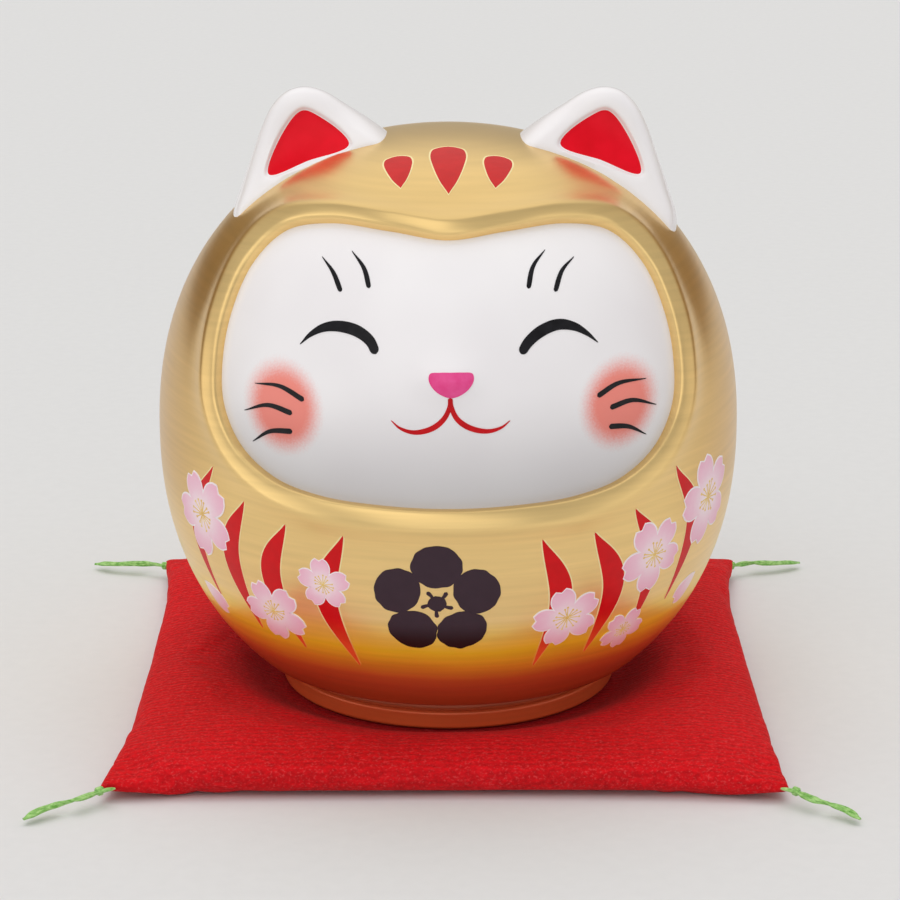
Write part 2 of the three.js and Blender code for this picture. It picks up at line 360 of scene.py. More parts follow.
def gold_lacquer():
    """Gold lacquer, brushed round the doll, sprayed over with amber and brown near the foot."""
    s = Shade("gold_lacquer", Roughness=0.3, IOR=1.45)
    height = s.axis(2)
    level = s.math("ADD", height, s.remap(s.noise(45, 2), 0, 1, -1.6 * MM, 1.6 * MM))
    colour = s.ramp(level, [(h * MM, c) for h, c in LACQUER])
    # Painted shade in the groove above the foot ring.
    above, below = s.fade(height, *GROOVE_SHADE["from_below"]), s.fade(height, *GROOVE_SHADE["from_above"])
    groove_shade = s.math("MULTIPLY", s.math("MULTIPLY", above, below), GROOVE_SHADE["share"])
    colour = s.mix(groove_shade, colour, rgb(92, 50, 24))
    # Painted contact shadow along the foot's lower edge.
    colour = s.mix(s.fade(height, *CONTACT_SHADOW["height"], CONTACT_SHADOW["share"]), colour, rgb(70, 46, 18))
    # Painted shade on both flanks, darker away from the front.
    to_the_side = s.fade(s.math("ABSOLUTE", s.axis(0)), *FLANK_SHADE["side"], FLANK_SHADE["share"])
    flank_shade = s.math("MULTIPLY", to_the_side, s.fade(height, *FLANK_SHADE["height"]))
    colour = s.mix(flank_shade, colour, rgb(178, 124, 66))
    fine = s.math("MULTIPLY", s.noise((36, 36, 850), 2), 0.75)
    broad = s.math("MULTIPLY", s.noise((14, 14, 260), 1), 0.25)
    streak = s.math("ADD", fine, broad)
    s.set("Base Color", s.shaded(colour, s.remap(streak, 0.3, 0.7, 0.93, 1.05)))
    s.set("Metallic", s.remap(level, 14 * MM, 58 * MM, 0.22, 0.96, smooth=True))
    s.bump(streak, 0.004)
    return s.material


def white_glaze(blushes=()):
    """Glossy white glaze. Each blush is a soft sprayed disc: its middle and its two half sizes."""
    s = Shade("white_glaze", Roughness=0.16, IOR=1.5)
    colour = s.mottle(rgb(240, 236, 238), rgb(248, 245, 246), 30, 2)
    speck = s.remap(s.noise(2600, 1), 0.3, 0.7, -0.035, 0.035)
    for (x, z), (wide, tall) in blushes:
        away = s.vector("SUBTRACT", s.at, (x * MM, 0, z * MM))
        scaled = s.vector("MULTIPLY", away, (1 / (wide * MM), 0, 1 / (tall * MM)))
        reach = s.math("ADD", s.vector("LENGTH", scaled), speck)
        share = s.remap(reach, 0.6, 1.2, 0.92, 0.0, smooth=True)
        colour = s.mix(share, colour, rgb(244, 122, 104))
    # Painted shade: the glaze is darker towards the bottom of the face.
    low = s.remap(s.axis(2), 58 * MM, 86 * MM, 0.64, 1.0, smooth=True)
    s.set("Base Color", s.shaded(colour, low))
    s.bump(s.noise(55, 1), 0.05)
    return s.material


def red_glaze():
    s = Shade("red_glaze", Roughness=0.22, IOR=1.5, Specular_IOR_Level=0.14)
    s.set("Base Color", s.mottle(rgb(222, 4, 26), rgb(238, 10, 36), 120, 3))
    s.bump(s.noise(160, 2), 0.05)
    return s.material


PAINT_GLOSS = 0.2


def brushed_paint(name, dark, light, roughness=0.3):
    """Enamel painted by brush: its colour is a little uneven along the strokes."""
    s = Shade(name, Roughness=roughness, IOR=1.5, Specular_IOR_Level=PAINT_GLOSS)
    s.set("Base Color", s.mottle(dark, light, 420, 3))
    s.bump(s.noise(900, 2), 0.01)
    return s.material


def faded_paint(name, colour, faded, clear_above, faded_below):
    """Paint that the amber spray near the foot has tinted. Heights are in millimetres."""
    s = Shade(name, Roughness=0.35, IOR=1.5, Specular_IOR_Level=PAINT_GLOSS)
    tinted = s.mix(s.fade(s.axis(2), clear_above, faded_below), colour, faded)
    s.set("Base Color", s.shaded(tinted, s.remap(s.noise(380, 3), 0.3, 0.7, 0.93, 1.04)))
    s.bump(s.noise(900, 2), 0.01)
    return s.material


# A petal's colour by its distance from the flower's centre, as a share of the petal's length.
PETAL_PINKS = [
    (0.0, rgb(254, 244, 246)),
    (0.34, rgb(252, 228, 237)),
    (0.62, rgb(249, 206, 223)),
    (1.0, rgb(245, 184, 208)),
]


def petal_paint():
    """Petals are nearly white at the flower's centre and pink towards their tips."""
    s = Shade("petal_pink", Roughness=0.35, IOR=1.5)
    reach = s.math("ADD", s.attribute("reach"), s.remap(s.noise(700, 2), 0, 1, -0.08, 0.08))
    pink = s.ramp(reach, PETAL_PINKS)
    s.set("Base Color", s.mix(s.fade(s.axis(2), 34, 22, 0.5), pink, rgb(240, 150, 130)))
    return s.material


RIB = 1.65  # pitch of the crepe's ribs, in millimetres


def crepe():
    """Red crepe: wavering ribs along X under a pebbled grain, with painted shadow where the doll stands."""
    s = Shade("red_crepe", Roughness=0.8, Sheen_Weight=0.08, Sheen_Roughness=0.45, IOR=1.4,
              Sheen_Tint=rgb(255, 150, 140), Specular_IOR_Level=0.25)
    waver = s.math("MULTIPLY", s.noise((260, 420, 420), 2), 11.0)
    turns = s.math("MULTIPLY", s.axis(1), 2 * math.pi / (RIB * MM))
    rib = s.remap(s.math("SINE", s.math("ADD", turns, waver)), -1.0, 1.0)
    height = s.math("ADD", s.math("MULTIPLY", rib, 0.24), s.noise((900, 1250, 1250), 3))
    base = s.mottle(rgb(206, 10, 20), rgb(218, 14, 26), 26, 3)
    from_seat = s.vector("LENGTH", s.vector("MULTIPLY", s.at, (1, 1, 0)))
    # Painted shadow of the doll on the cushion, darkest next to its foot.
    base = s.mix(s.fade(from_seat, 56, 37, 0.45), base, rgb(150, 8, 22))
    # Painted shade and light: the crepe is darker in the hollows of its ribs and grain, lighter on their tops.
    shaded_grain = s.shaded(base, s.remap(height, 0.35, 0.9, 0.7, 1.14))
    # Painted sheen: lighter specks for the glints on the grain's raised points.
    speck = s.remap(s.noise((1800, 2300, 2300), 1), 0.5, 0.8, 0.0, 0.36, smooth=True)
    s.set("Base Color", s.mix(speck, shaded_grain, rgb(236, 92, 92)))
    s.bump(height, 0.3)
    return s.material


FIBRE = (900, 900, 2600)


def thread():
    s = Shade("green_thread", Roughness=0.75, Sheen_Weight=0.3, IOR=1.45)
    s.set("Base Color", s.mottle(rgb(96, 164, 54), rgb(178, 220, 138), FIBRE, 3, low=0.32))
    s.bump(s.noise(FIBRE, 3), 0.12)
    return s.material


def rubber():
    s = Shade("stopper_rubber", Roughness=0.55, IOR=1.45)
    s.set("Base Color", s.mottle(rgb(206, 203, 194), rgb(222, 219, 211), 200, 3))
    s.bump(s.noise(1500, 2), 0.03)
    return s.material


def studio_paper():
    s = Shade("studio_paper", Roughness=0.9, IOR=1.4, Specular_IOR_Level=0.0)
    s.set("Base Color", s.mottle(rgb(221, 221, 221), rgb(223, 223, 223), 300, 3))
    return s.material


# ---------- the round body ----------

shell_low, shell_high = corners("body_shell")
BODY = {"radius": shell_high[0], "up": 66.0, "down": 65.3, "power": 2.2, "wall": 4.0}
CENTRE = np.array([0, 0, shell_high[2] - BODY["up"]])
FOOT = {"underside": shell_low[2], "radius": 37.5, "round": 0.9, "top": 6.2, "shoulder": 11.0}
FACE = {"sunk": 2.2, "thickness": 3.0, "overlap": 0.1, "rim_rise": 0.12, "rim_width": 0.9}
NOSE = {"side": 0.4, "height": 87.0, "wide": 5.4, "tall": 3.8, "rise": 1.9}
MUZZLE = {"height": 81.5, "wide": 19.0, "tall": 10.0, "rise": 1.3}

# The right half of the face's outline in X and Z, from the dip under the brow to the chin.
FACE_HALF = [
    (0, 113.5), (12.2, 114.7), (24.8, 115.0), (34.8, 112.3), (42.2, 105.4), (46.7, 96), (48.7, 86.4),
    (48.4, 77), (44.4, 69.3), (37.0, 64.2), (27.4, 62.0), (14, 61.2), (0, 60.9),
]
# The hood's lip. Up to its ridge the first number is a share of the lip's width, and past the
# ridge it grows by 1 for each length of flare. The second is the height in millimetres.
LIP = [
    (0.0, -0.9), (0.03, -0.5), (0.12, -0.1), (0.3, 0.25), (0.6, 0.68), (0.88, 1.0), (1.0, 1.06),
    (1.2, 1.05), (1.6, 0.9), (2.2, 0.6), (2.9, 0.3), (3.7, 0.09), (4.5, 0.0),
]
LIP_FLARE = 2.0
LIP_HEIGHTS = (62, 72, 85, 110)  # heights at which the lip's width is given
LIP_WIDTHS = (3.6, 2.5, 2.1, 1.8)  # from the face's edge to the lip's ridge, from the front
LIP_WALL = [-4.2, -3.0, -1.9]  # heights of the rows that go down beside the face
AROUND = 384
WALK = {"step": 0.4, "count": 52}


def skin(direction, inset=0.0):
    """Point of the body's surface, moved in by inset, in a direction from its centre."""
    up, down = BODY["up"] - inset, BODY["down"] - inset
    half = np.where(direction[..., 2] > 0, up, down)
    across = np.hypot(direction[..., 0], direction[..., 1]) / (BODY["radius"] - inset)
    level = np.abs(direction[..., 2]) / half
    reach = (across ** BODY["power"] + level ** BODY["power"]) ** (-1 / BODY["power"])
    return CENTRE + direction * reach[..., None]


def outward(point):
    """The way out from the body's surface at a point on it."""
    away = point - CENTRE
    half = np.where(away[..., 2] > 0, BODY["up"], BODY["down"])
    around = np.maximum(np.hypot(away[..., 0], away[..., 1]), 1e-9)
    power = BODY["power"] - 1
    flat = (around / BODY["radius"]) ** power / BODY["radius"] / around
    rise = np.sign(away[..., 2]) * (np.abs(away[..., 2]) / half) ** power / half
    return unit(np.stack([away[..., 0] * flat, away[..., 1] * flat, rise], axis=-1))


def radius_at(z, inset=0.0):
    half = np.where(z > CENTRE[2], BODY["up"], BODY["down"]) - inset
    share = np.clip(np.abs(z - CENTRE[2]) / half, 0, 1)
    return (BODY["radius"] - inset) * (1 - share ** BODY["power"]) ** (1 / BODY["power"])


def front(xz, inset=0.0):
    """Point on the front of the body at x and z."""
    x, z = xz[..., 0], xz[..., 1]
    y = -np.sqrt(np.maximum(0, radius_at(z, inset) ** 2 - x**2))
    return np.stack([x, y, z], axis=-1)


def on_belly(turn_z):
    """Point of the body at a turn about Z, in degrees from the front, and a height."""
    turn, z = np.radians(turn_z[..., 0]), turn_z[..., 1]
    radius = radius_at(z)
    return np.stack([radius * np.sin(turn), -radius * np.cos(turn), z], axis=-1)


def on_crown(xy):
    """Point on top of the body at x and y."""
    around = np.hypot(xy[..., 0], xy[..., 1]) / BODY["radius"]
    rise = BODY["up"] * (1 - around ** BODY["power"]) ** (1 / BODY["power"])
    return np.stack([xy[..., 0], xy[..., 1], CENTRE[2] + rise], axis=-1)


def on_face(xz):
    """Point of the sunken face at x and z, with its muzzle and nose."""
    x, z = xz[..., 0] - NOSE["side"], xz[..., 1]
    sunk = FACE["sunk"]
    for hill in (NOSE, MUZZLE):
        away = (x / hill["wide"]) ** 2 + ((z - hill["height"]) / hill["tall"]) ** 2
        sunk = sunk - hill["rise"] * np.exp(-away)
    return front(xz, sunk)


def face_outline(grow, count):
    """The face's outline in X and Z, anticlockwise from the front, moved out by grow."""
    half = np.array(FACE_HALF, float)
    loop = np.vstack([half[:-1] * (-1, 1), half[1:][::-1]])
    at = through(loop, count, closed=True)
    along = unit(np.roll(at, -1, axis=0) - np.roll(at, 1, axis=0))
    return at + np.column_stack([along[:, 1], -along[:, 0]]) * grow


def walk(start, heading):
    """Rows of points that walk straight ahead over the body's surface, a step apart."""
    rows = [start]
    for _ in range(WALK["count"]):
        here = skin(rows[-1] + heading * WALK["step"] - CENTRE)
        out = outward(here)
        ahead = here - rows[-1]
        heading = unit(ahead - out * np.sum(ahead * out, axis=1, keepdims=True))
        rows.append(here)
    return np.array(rows)


def along_walk(rows, distance):
    """A point of each walk at its own distance."""
    place = np.clip(distance / WALK["step"], 0, len(rows) - 1.001)
    step = place.astype(int)
    share = (place - step)[:, None]
    every = np.arange(rows.shape[1])
    between = rows[step, every] * (1 - share) + rows[step + 1, every] * share
    return skin(between - CENTRE)


def lip_widths(rows):
    """How far each walk goes before it is a lip's width out, as seen from the front."""
    out = np.linalg.norm((rows - rows[0])[..., [0, 2]], axis=2)
    distance = np.arange(len(rows)) * WALK["step"]
    wanted = np.interp(rows[0][:, 2], LIP_HEIGHTS, LIP_WIDTHS)
    widths = np.array([np.interp(width, line, distance) for width, line in zip(wanted, out.T)])
    blur = np.hanning(25) / np.hanning(25).sum()
    padded = np.concatenate([widths[-12:], widths, widths[:12]])
    return np.convolve(padded, blur, mode="valid")


def lip_reach(share, widths):
    return min(share, 1) * widths + max(share - 1, 0) * LIP_FLARE


BACK_ROWS = 62
BACK_CROWDING = 1.15  # the higher, the closer the first of those rows lie together
INNER_STEP = 4


def shell_rings():
    """Rings of the shell from its inner back pole, round the hood's lip, to its outer back pole."""
    start = front(face_outline(0.0, AROUND))
    along = unit(np.roll(start, -1, axis=0) - np.roll(start, 1, axis=0))
    rows = walk(start, unit(np.cross(along, outward(start))))
    widths = lip_widths(rows)
    outer = [start + outward(start) * height for height in LIP_WALL]
    for share, height in through(LIP, 40):
        place = along_walk(rows, lip_reach(share, widths))
        outer.append(place + outward(place) * height)
    last = unit(along_walk(rows, lip_reach(LIP[-1][0], widths)) - CENTRE)
    back = -unit(np.mean(start, axis=0) - CENTRE)
    angle = np.arccos(np.clip(last @ back, -1, 1))[:, None]
    for row in range(1, BACK_ROWS):
        t = (row / BACK_ROWS) ** BACK_CROWDING
        way = (np.sin((1 - t) * angle) * last + np.sin(t * angle) * back) / np.sin(angle)
        outer.append(skin(way))
    ways = [ring - CENTRE for ring in outer[len(LIP_WALL) + 6 :: INNER_STEP]]
    inner = [skin(way, BODY["wall"]) for way in reversed(ways)]
    return inner + outer, skin(back[None], BODY["wall"])[0], skin(back[None])[0]


def foot_profile():
    """Section of the foot ring, its recess, and the floor of the cavity, as a closed loop."""
    under, radius = FOOT["underside"], FOOT["radius"]
    bend = FOOT["round"]
    flat = radius - bend
    turns = np.linspace(0, math.pi / 2, 7)
    corner = [(flat + bend * math.sin(a), under + bend - bend * math.cos(a)) for a in turns]
    top = [(flat + bend * math.cos(a), FOOT["top"] + bend * math.sin(a)) for a in turns]
    groove = [(36.4, 7.4), (36.1, 8.2), (36.6, 9.1), (38.2, 9.9), (40.7, 10.5), (43.45, 11.0)]
    return [
        (12, under + 2.9), (12.3, under + 2.6), (31.6, under + 2.6),
        (32.4, under + 1.8), (33, under + 0.5), (33.6, under),
        *corner,
        *top,
        *through(groove, 16),
        (43.3, 13.5), (38.5, 12.6), (33, 9.6), (30, 9.4), (12.3, 9.4), (12, 9.1),
    ]


def gold_shell(material):
    rings, inner_pole, outer_pole = shell_rings()
    shell = rings_piece("gold_shell", rings, inner_pole, outer_pole, [material])
    low = shell_low[2] - 20
    slab = turned_rings([(90, low), (90, FOOT["shoulder"])], 64)
    block = rings_piece("block", slab, (0, 0, low), (0, 0, FOOT["shoulder"]), [material])
    boolean(shell, block, "DIFFERENCE")
    rings = turned_rings(foot_profile(), AROUND // 2)
    count = len(rings[0])
    last = (len(rings) - 1) * count
    faces = ring_faces(len(rings), count)
    faces += [(last + i, last + (i + 1) % count, (i + 1) % count, i) for i in range(count)]
    boolean(shell, make_piece("foot", np.vstack(rings), faces, [material]), "UNION")
    crease(shell, 38)
    return shell


def white_face(material):
    """The glazed face: front rings from its middle out, over its edge and back to its middle."""
    middle = np.array([NOSE["side"], NOSE["height"]])
    edge = face_outline(FACE["overlap"], AROUND * 2 // 3) - middle
    shares = 1 - (1 - np.linspace(0, 1, 58)[1:]) ** 1.35
    rings = []
    for share in shares:
        place = on_face(middle + edge * share)
        from_edge = np.linalg.norm(edge, axis=1) * (1 - share)
        rise = FACE["rim_rise"] * np.clip(1 - from_edge / FACE["rim_width"], 0, 1) ** 2
        rings.append(place + outward(place) * rise[:, None])
    for share in (1.0, 0.97, 0.8, 0.55, 0.3, 0.1):
        rings.append(front(middle + edge * share, FACE["sunk"] + FACE["thickness"]))
    first = on_face(middle[None])[0]
    last = front(middle[None], FACE["sunk"] + FACE["thickness"])[0]
    face = rings_piece("white_face", rings, first, last, [material])
    crease(face, 50)
    return face


# ---------- ears ----------

# The right ear before it is moved out: its outer edge, root and red lining in X and Z.
EAR_EDGE = [
    (46.4, 102.5), (46.9, 108.4), (45, 114.6), (42.6, 121.4), (40.2, 128), (37.7, 132.7), (34.6, 135.5),
    (31, 136.4), (27, 135.5), (21.2, 132), (16, 128.6), (11.5, 125), (7, 120),
]
EAR_ROOT = [(9, 112), (30, 98)]
EAR_LINING = [(38.6, 118.8), (35.4, 127.4), (31.4, 131.8), (27.8, 130.7), (21.2, 125.4), (29.9, 121.9)]
EAR = {"middle": 0.5, "half_depth": 6.0, "edge": 3.6, "dish": 1.1, "lip": 1.0, "around": 200, "into_body": 0.8}
EAR_FLARE = {"forward": 5.2, "fall": 6.0}  # how the front swells where it meets the crown
EAR_TAPER = {"root": 106.0, "tip": 137.0, "thin": 0.55}


def radii(loop, middle, turns):
    """Radius of a closed loop of points at the given angles round its middle."""
    away = loop - middle
    angle = np.arctan2(away[:, 1], away[:, 0])
    order = np.argsort(angle)
    return np.interp(turns, angle[order], np.linalg.norm(away, axis=1)[order], period=2 * math.pi)


def ear_half_depth(z):
    up = np.clip((z - EAR_TAPER["root"]) / (EAR_TAPER["tip"] - EAR_TAPER["root"]), 0, 1)
    return EAR["half_depth"] * (1 + (EAR_TAPER["thin"] - 1) * up)


def ear_flare(x, z):
    """How far the ear's front swells forward at x and z, most where it meets the crown."""
    above = np.maximum(z - on_crown(np.stack([x, np.full_like(x, -8.0)], axis=-1))[..., 2], 0)
    return EAR_FLARE["forward"] * np.exp(-((above / EAR_FLARE["fall"]) ** 1.4))


def ear(name, side, out, materials):
    """One ear, with a red lining sunk into its front. side is 1 on +X and -1 on -X."""
    lining = through(EAR_LINING, 240, closed=True)
    middle = lining.mean(axis=0)
    turns = np.linspace(-math.pi, math.pi, EAR["around"], endpoint=False)
    root = resample([EAR_EDGE[-1], *EAR_ROOT, EAR_EDGE[0]], 60)
    inner = radii(lining, middle, turns)
    outer = radii(np.vstack([through(EAR_EDGE, 240), root[1:-1]]), middle, turns)
    way = np.column_stack([np.cos(turns), np.sin(turns)])
    lip = inner + EAR["lip"]
    rings, zones = [], []

    def add(radius, face, sunk=0.0, zone=0):
        at = middle + way * radius[:, None]
        from_edge = np.clip((outer - radius) / EAR["edge"], 0, 1)
        round_off = (1 - (1 - from_edge) ** 2.2) ** (1 / 2.2)
        depth = ear_half_depth(at[:, 1]) * (0.12 + 0.88 * round_off) - sunk
        if face < 0:
            depth += ear_flare(at[:, 0] + out, at[:, 1]) * round_off
        rings.append(np.column_stack([at[:, 0] + out, EAR["middle"] + face * depth, at[:, 1]]))
        zones.append(zone)

    for share in (0.12, 0.35, 0.6, 0.8, 0.92, 1.0):
        add(inner * share, -1, EAR["dish"] * (1 - 0.14 * share**6), 1)
    zones[-1] = 0
    for share in (0.0, 0.2, 0.45, 0.7, 1.0):
        add(inner + EAR["lip"] * share, -1, EAR["dish"] * 0.86 * (1 - smoothstep(share, 0, 1)))
    for share in (0.12, 0.28, 0.42, 0.55, 0.66, 0.76, 0.84, 0.91, 0.96, 0.99, 1.0):
        add(lip + (outer - lip) * share, -1)
    for share in (1.0, 0.99, 0.96, 0.91, 0.84, 0.76, 0.66, 0.5, 0.3, 0.1):
        add(outer * share, 1)
    swell = ear_flare(middle[0] + out, middle[1])
    first = (middle[0] + out, EAR["middle"] - ear_half_depth(middle[1]) + EAR["dish"] - swell, middle[1])
    last = (middle[0] + out, EAR["middle"] + ear_half_depth(middle[1]), middle[1])
    mirror = np.array([side, 1, 1])
    rings = [ring * mirror for ring in rings]
    made = rings_piece(name, rings, first * mirror, last * mirror, materials, zones)
    boolean(made, body_blank(EAR["into_body"], materials[0]), "DIFFERENCE")
    crease(made, 40)
    return made


def body_blank(inset, material):
    """The plain round body as a closed piece: what the ears are trimmed to."""
    turns = np.linspace(0, 2 * math.pi, 180, endpoint=False)
    rings = []
    for tilt in np.linspace(0, math.pi, 90)[1:-1]:
        wide, level = np.sin(tilt), np.full(len(turns), np.cos(tilt))
        rings.append(skin(np.column_stack([wide * np.cos(turns), wide * np.sin(turns), level]), inset))
    top, bottom = (skin(np.array([[0.0, 0.0, z]]), inset)[0] for z in (1, -1))
    return rings_piece("blank", rings, top, bottom, [material])


# ---------- paint ----------

SUNK = 0.15  # how far the hidden side of a painted shape lies under the surface
UNDER, OVER, TOP = 0.05, 0.09, 0.13  # how proud the layers of paint stand
REACH = 3.0  # how far above the plain body the ground under the paint is looked for
NUDGE = 0.02  # half the step by which a surface's slope is measured
STROKE_STEP = 0.2


class Paint:
    """Gathers painted shapes, each a thin closed skin over a surface, into one piece."""

    def __init__(self, place, ground=None):
        self.place, self.ground = place, ground
        self.points, self.faces, self.zones, self.reach = [], [], [], []
        self.count, self.raised = 0, 0.0

    def sheet(self, at, faces, border, zone, lift, reach=None):
        spot = self.place(at)
        out = self.way_out(at)
        if self.ground:
            spot = self.dropped(spot, out)
        size = len(spot)
        here, under = self.count, self.count + size
        self.points += [spot + out * (lift + self.raised), spot - out * SUNK]
        self.faces += [tuple(here + i for i in f) for f in faces]
        self.faces += [tuple(under + i for i in reversed(f)) for f in faces]
        for a, b in zip(border, border[1:] + border[:1]):
            self.faces.append((here + a, under + a, under + b, here + b))
        self.zones += [zone] * (len(faces) * 2 + len(border))
        self.reach += [np.zeros(size) if reach is None else reach] * 2
        self.count += 2 * size

    def dropped(self, spots, outs):
        """The same spots on the ground's mesh, which may stand above or below the plain body."""
        found = []
        for spot, out in zip(spots, outs):
            hit = self.ground.ray_cast((spot + out * REACH) * MM, -out, 2 * REACH * MM)[0]
            found.append(spot if hit is None else np.array(hit) / MM)
        return np.array(found)

    def way_out(self, at):
        across = self.place(at + (NUDGE, 0)) - self.place(at - (NUDGE, 0))
        up = self.place(at + (0, NUDGE)) - self.place(at - (0, NUDGE))
        out = unit(np.cross(across, up))
        away = np.sign(np.sum(out * (self.place(at) - CENTRE), axis=1, keepdims=True))
        return out * away

    def patch(self, outline, zone, lift, middle=None, rings=6, reach_from=None, full=1.0):
        """A filled outline of points, which its middle sees all of."""
        outline = np.asarray(outline, float)
        middle = outline.mean(axis=0) if middle is None else np.asarray(middle, float)
        shares = np.linspace(0, 1, rings + 1)[1:]
        at = np.vstack([middle + (outline - middle) * share for share in shares] + [middle[None]])
        around = len(outline)
        faces = ring_faces(rings, around) + fan_faces(rings * around, 0, around)
        border = [(rings - 1) * around + i for i in range(around)]
        reach = None
        if reach_from is not None:
            reach = np.linalg.norm(at - reach_from, axis=1) / full
        self.sheet(at, faces, border, zone, lift, reach)

    def stroke(self, spine, widths, zone, lift, across=5, steps=0, scale=(1, 1)):
        """A brush stroke along a line of points. scale turns the points' units into millimetres."""
        scale = np.array(scale, float)
        line = np.asarray(spine, float) * scale
        length = np.linalg.norm(np.diff(line, axis=0), axis=1).sum()
        steps = steps or max(24, int(length / STROKE_STEP))
        line = through(line, steps)
        t = np.linspace(0, 1, steps)
        width = np.interp(t, np.linspace(0, 1, len(widths)), widths)
        width = np.convolve(np.pad(width, 2, "edge"), np.ones(5) / 5, mode="valid")
        for end in (t, 1 - t):
            near = np.clip(end * length / np.maximum(width / 2, 1e-6), 0, 1)
            width = width * np.sqrt(np.maximum(0.02, 1 - (1 - near) ** 2))
        along = unit(np.gradient(line, axis=0))
        side = np.column_stack([along[:, 1], -along[:, 0]])
        shares = np.linspace(-0.5, 0.5, across)
        at = np.vstack([line + side * (width * share)[:, None] for share in shares]) / scale
        border = list(range(steps))
        border += [r * steps + steps - 1 for r in range(1, across)]
        border += [(across - 1) * steps + i for i in range(steps - 2, -1, -1)]
        border += [r * steps for r in range(across - 2, 0, -1)]
        self.sheet(at, grid_faces(across, steps), border, zone, lift)

    def piece(self, name, materials):
        made = make_piece(name, np.vstack(self.points), self.faces, materials, self.zones)
        attribute = made.data.attributes.new("reach", "FLOAT", "POINT")
        attribute.data.foreach_set("value", np.concatenate(self.reach).astype(np.float32))
        crease(made, 40)
        return made


# Strokes of the face in X and Z, each from its thin end to its thick end, and their widths.
BROW_PEN = (0.12, 0.42, 0.72, 0.95, 1.05, 0.9)
BROWS = [
    [(-25.9, 107.6), (-23.5, 105.2), (-21.8, 102.0)],
    [(-19.7, 109.2), (-17.1, 106.4), (-16.0, 103.1)],
    [(19.9, 109.4), (17.3, 106.7), (16.3, 103.0)],
    [(25.9, 107.6), (23.3, 105.5), (21.8, 102.0)],
]
EYE_PEN = (0.1, 0.75, 1.35, 1.85, 2.15, 2.25, 2.1, 1.8)
EYES = [
    [
        (-30.2, 91.5), (-27.9, 93.7), (-25.0, 95.3), (-21.7, 95.8),
        (-18.2, 95.2), (-15.7, 93.6), (-14.5, 91.4),
    ],
    [
        (30.6, 91.8), (28.3, 93.8), (25.6, 95.4), (22.3, 96.1),
        (18.8, 95.2), (16.2, 93.4), (14.7, 91.4),
    ],
]
WHISKER_PEN = (0.12, 0.5, 0.82, 1.05, 1.1)
WHISKERS = [
    [(-39.8, 82.4), (-34.4, 82.9), (-29.3, 81.0)],
    [(-42.1, 76.5), (-36.9, 78.7), (-31.8, 78.0)],
    [(-40.3, 70.6), (-36.5, 73.5), (-31.8, 74.4)],
    [(40.9, 83.1), (34.8, 83.4), (30.4, 81.6)],
    [(43.1, 77.4), (37.8, 79.5), (33.1, 78.9)],
    [(40.9, 71.9), (37.0, 74.4), (32.9, 75.2)],
]
MOUTH_PEN = (0.15, 0.7, 1.05, 1.15, 1.0, 0.85)
MOUTHS = [
    [(-11.5, 79.0), (-9.6, 77.5), (-6.8, 76.8), (-3.2, 77.7), (-0.8, 79.7), (0.35, 82.2), (0.4, 84.0)],
    [(12.5, 78.9), (10.7, 77.6), (7.8, 77.0), (4.2, 77.9), (1.8, 79.7), (0.65, 82.2), (0.5, 84.0)],
]
NOSE_TIP = [
    (-3.6, 88.4), (-1.5, 88.75), (0.65, 88.8), (2.8, 88.75), (4.9, 88.4), (5.15, 87.3), (4.4, 85.9),
    (2.7, 84.6), (0.65, 84.0), (-1.4, 84.6), (-3.1, 85.9), (-3.85, 87.3),
]
BLUSHES = [((-33.7, 78.9), (7.5, 8.7)), ((35.2, 79.4), (7.7, 8.5))]


def face_paint(dark, red, pink):
    paint = Paint(on_face)
    for strokes, pen in ((BROWS, BROW_PEN), (EYES, EYE_PEN), (WHISKERS, WHISKER_PEN)):
        for spine in strokes:
            paint.stroke(spine, pen, 0, OVER)
    for lift, spine in zip((UNDER, OVER), MOUTHS):
        paint.stroke(spine, MOUTH_PEN, 1, lift)
    paint.patch(through(NOSE_TIP, 72, closed=True), 2, TOP, rings=8)
    return paint.piece("face_paint", [dark, red, pink])


# Sabre-shaped stripes on the belly as turn and height: upper tip, middle and lower tip, then width.
STRIPES = [
    ((-50.0, 63.6), (-58.0, 49.0), (-55.8, 32.2), 4.2),
    ((-41.2, 58.2), (-46.6, 46.0), (-44.0, 27.6), 5.2),
    ((-31.4, 55.3), (-36.3, 43.5), (-32.6, 25.3), 5.3),
    ((-19.4, 54.8), (-24.2, 40.5), (-19.9, 22.8), 5.2),
    ((17.4, 54.2), (22.2, 40.5), (19.2, 22.9), 5.2),
    ((28.0, 54.2), (33.8, 41.5), (31.3, 24.5), 5.5),
    ((36.9, 57.6), (43.0, 46.5), (42.6, 28.6), 5.2),
    ((47.4, 64.5), (54.4, 52.0), (51.6, 32.6), 4.6),
]
STRIPE_PEN = np.array([0.02, 0.3, 0.58, 0.8, 0.94, 1.0, 0.98, 0.9, 0.76, 0.58, 0.4, 0.22, 0.05])
STRIPE_EDGE = 0.6  # how much wider the pale line under a stripe is
PER_DEGREE = BODY["radius"] * math.pi / 180


def belly_stripes(ground, red, pale):
    paint = Paint(on_belly, ground)
    for upper, middle, lower, width in STRIPES:
        for zone, lift, grow in ((1, UNDER, STRIPE_EDGE), (0, OVER, 0.0)):
            pen = STRIPE_PEN * width + grow
            paint.stroke((upper, middle, lower), pen, zone, lift, 7, 64, (PER_DEGREE, 1))
    return paint.piece("belly_stripes", [red, pale])


# Flames on the crown in X and Y: half outlines from the back to the tip, as fractions of the
# flame's half width and length.
FLAME = [(0.0, 0.0), (0.5, 0.03), (0.92, 0.12), (1.0, 0.26), (0.86, 0.48), (0.52, 0.76), (0.0, 1.0)]
FLAMES = [
    {"x": 0.0, "tip": 0.1, "back": -15.2, "front": -33.4, "half": 3.75},
    {"x": -10.7, "tip": -9.8, "back": -18.4, "front": -30.6, "half": 2.95},
    {"x": 10.7, "tip": 9.8, "back": -18.4, "front": -30.6, "half": 2.95},
]
FLAME_EDGE = 0.35


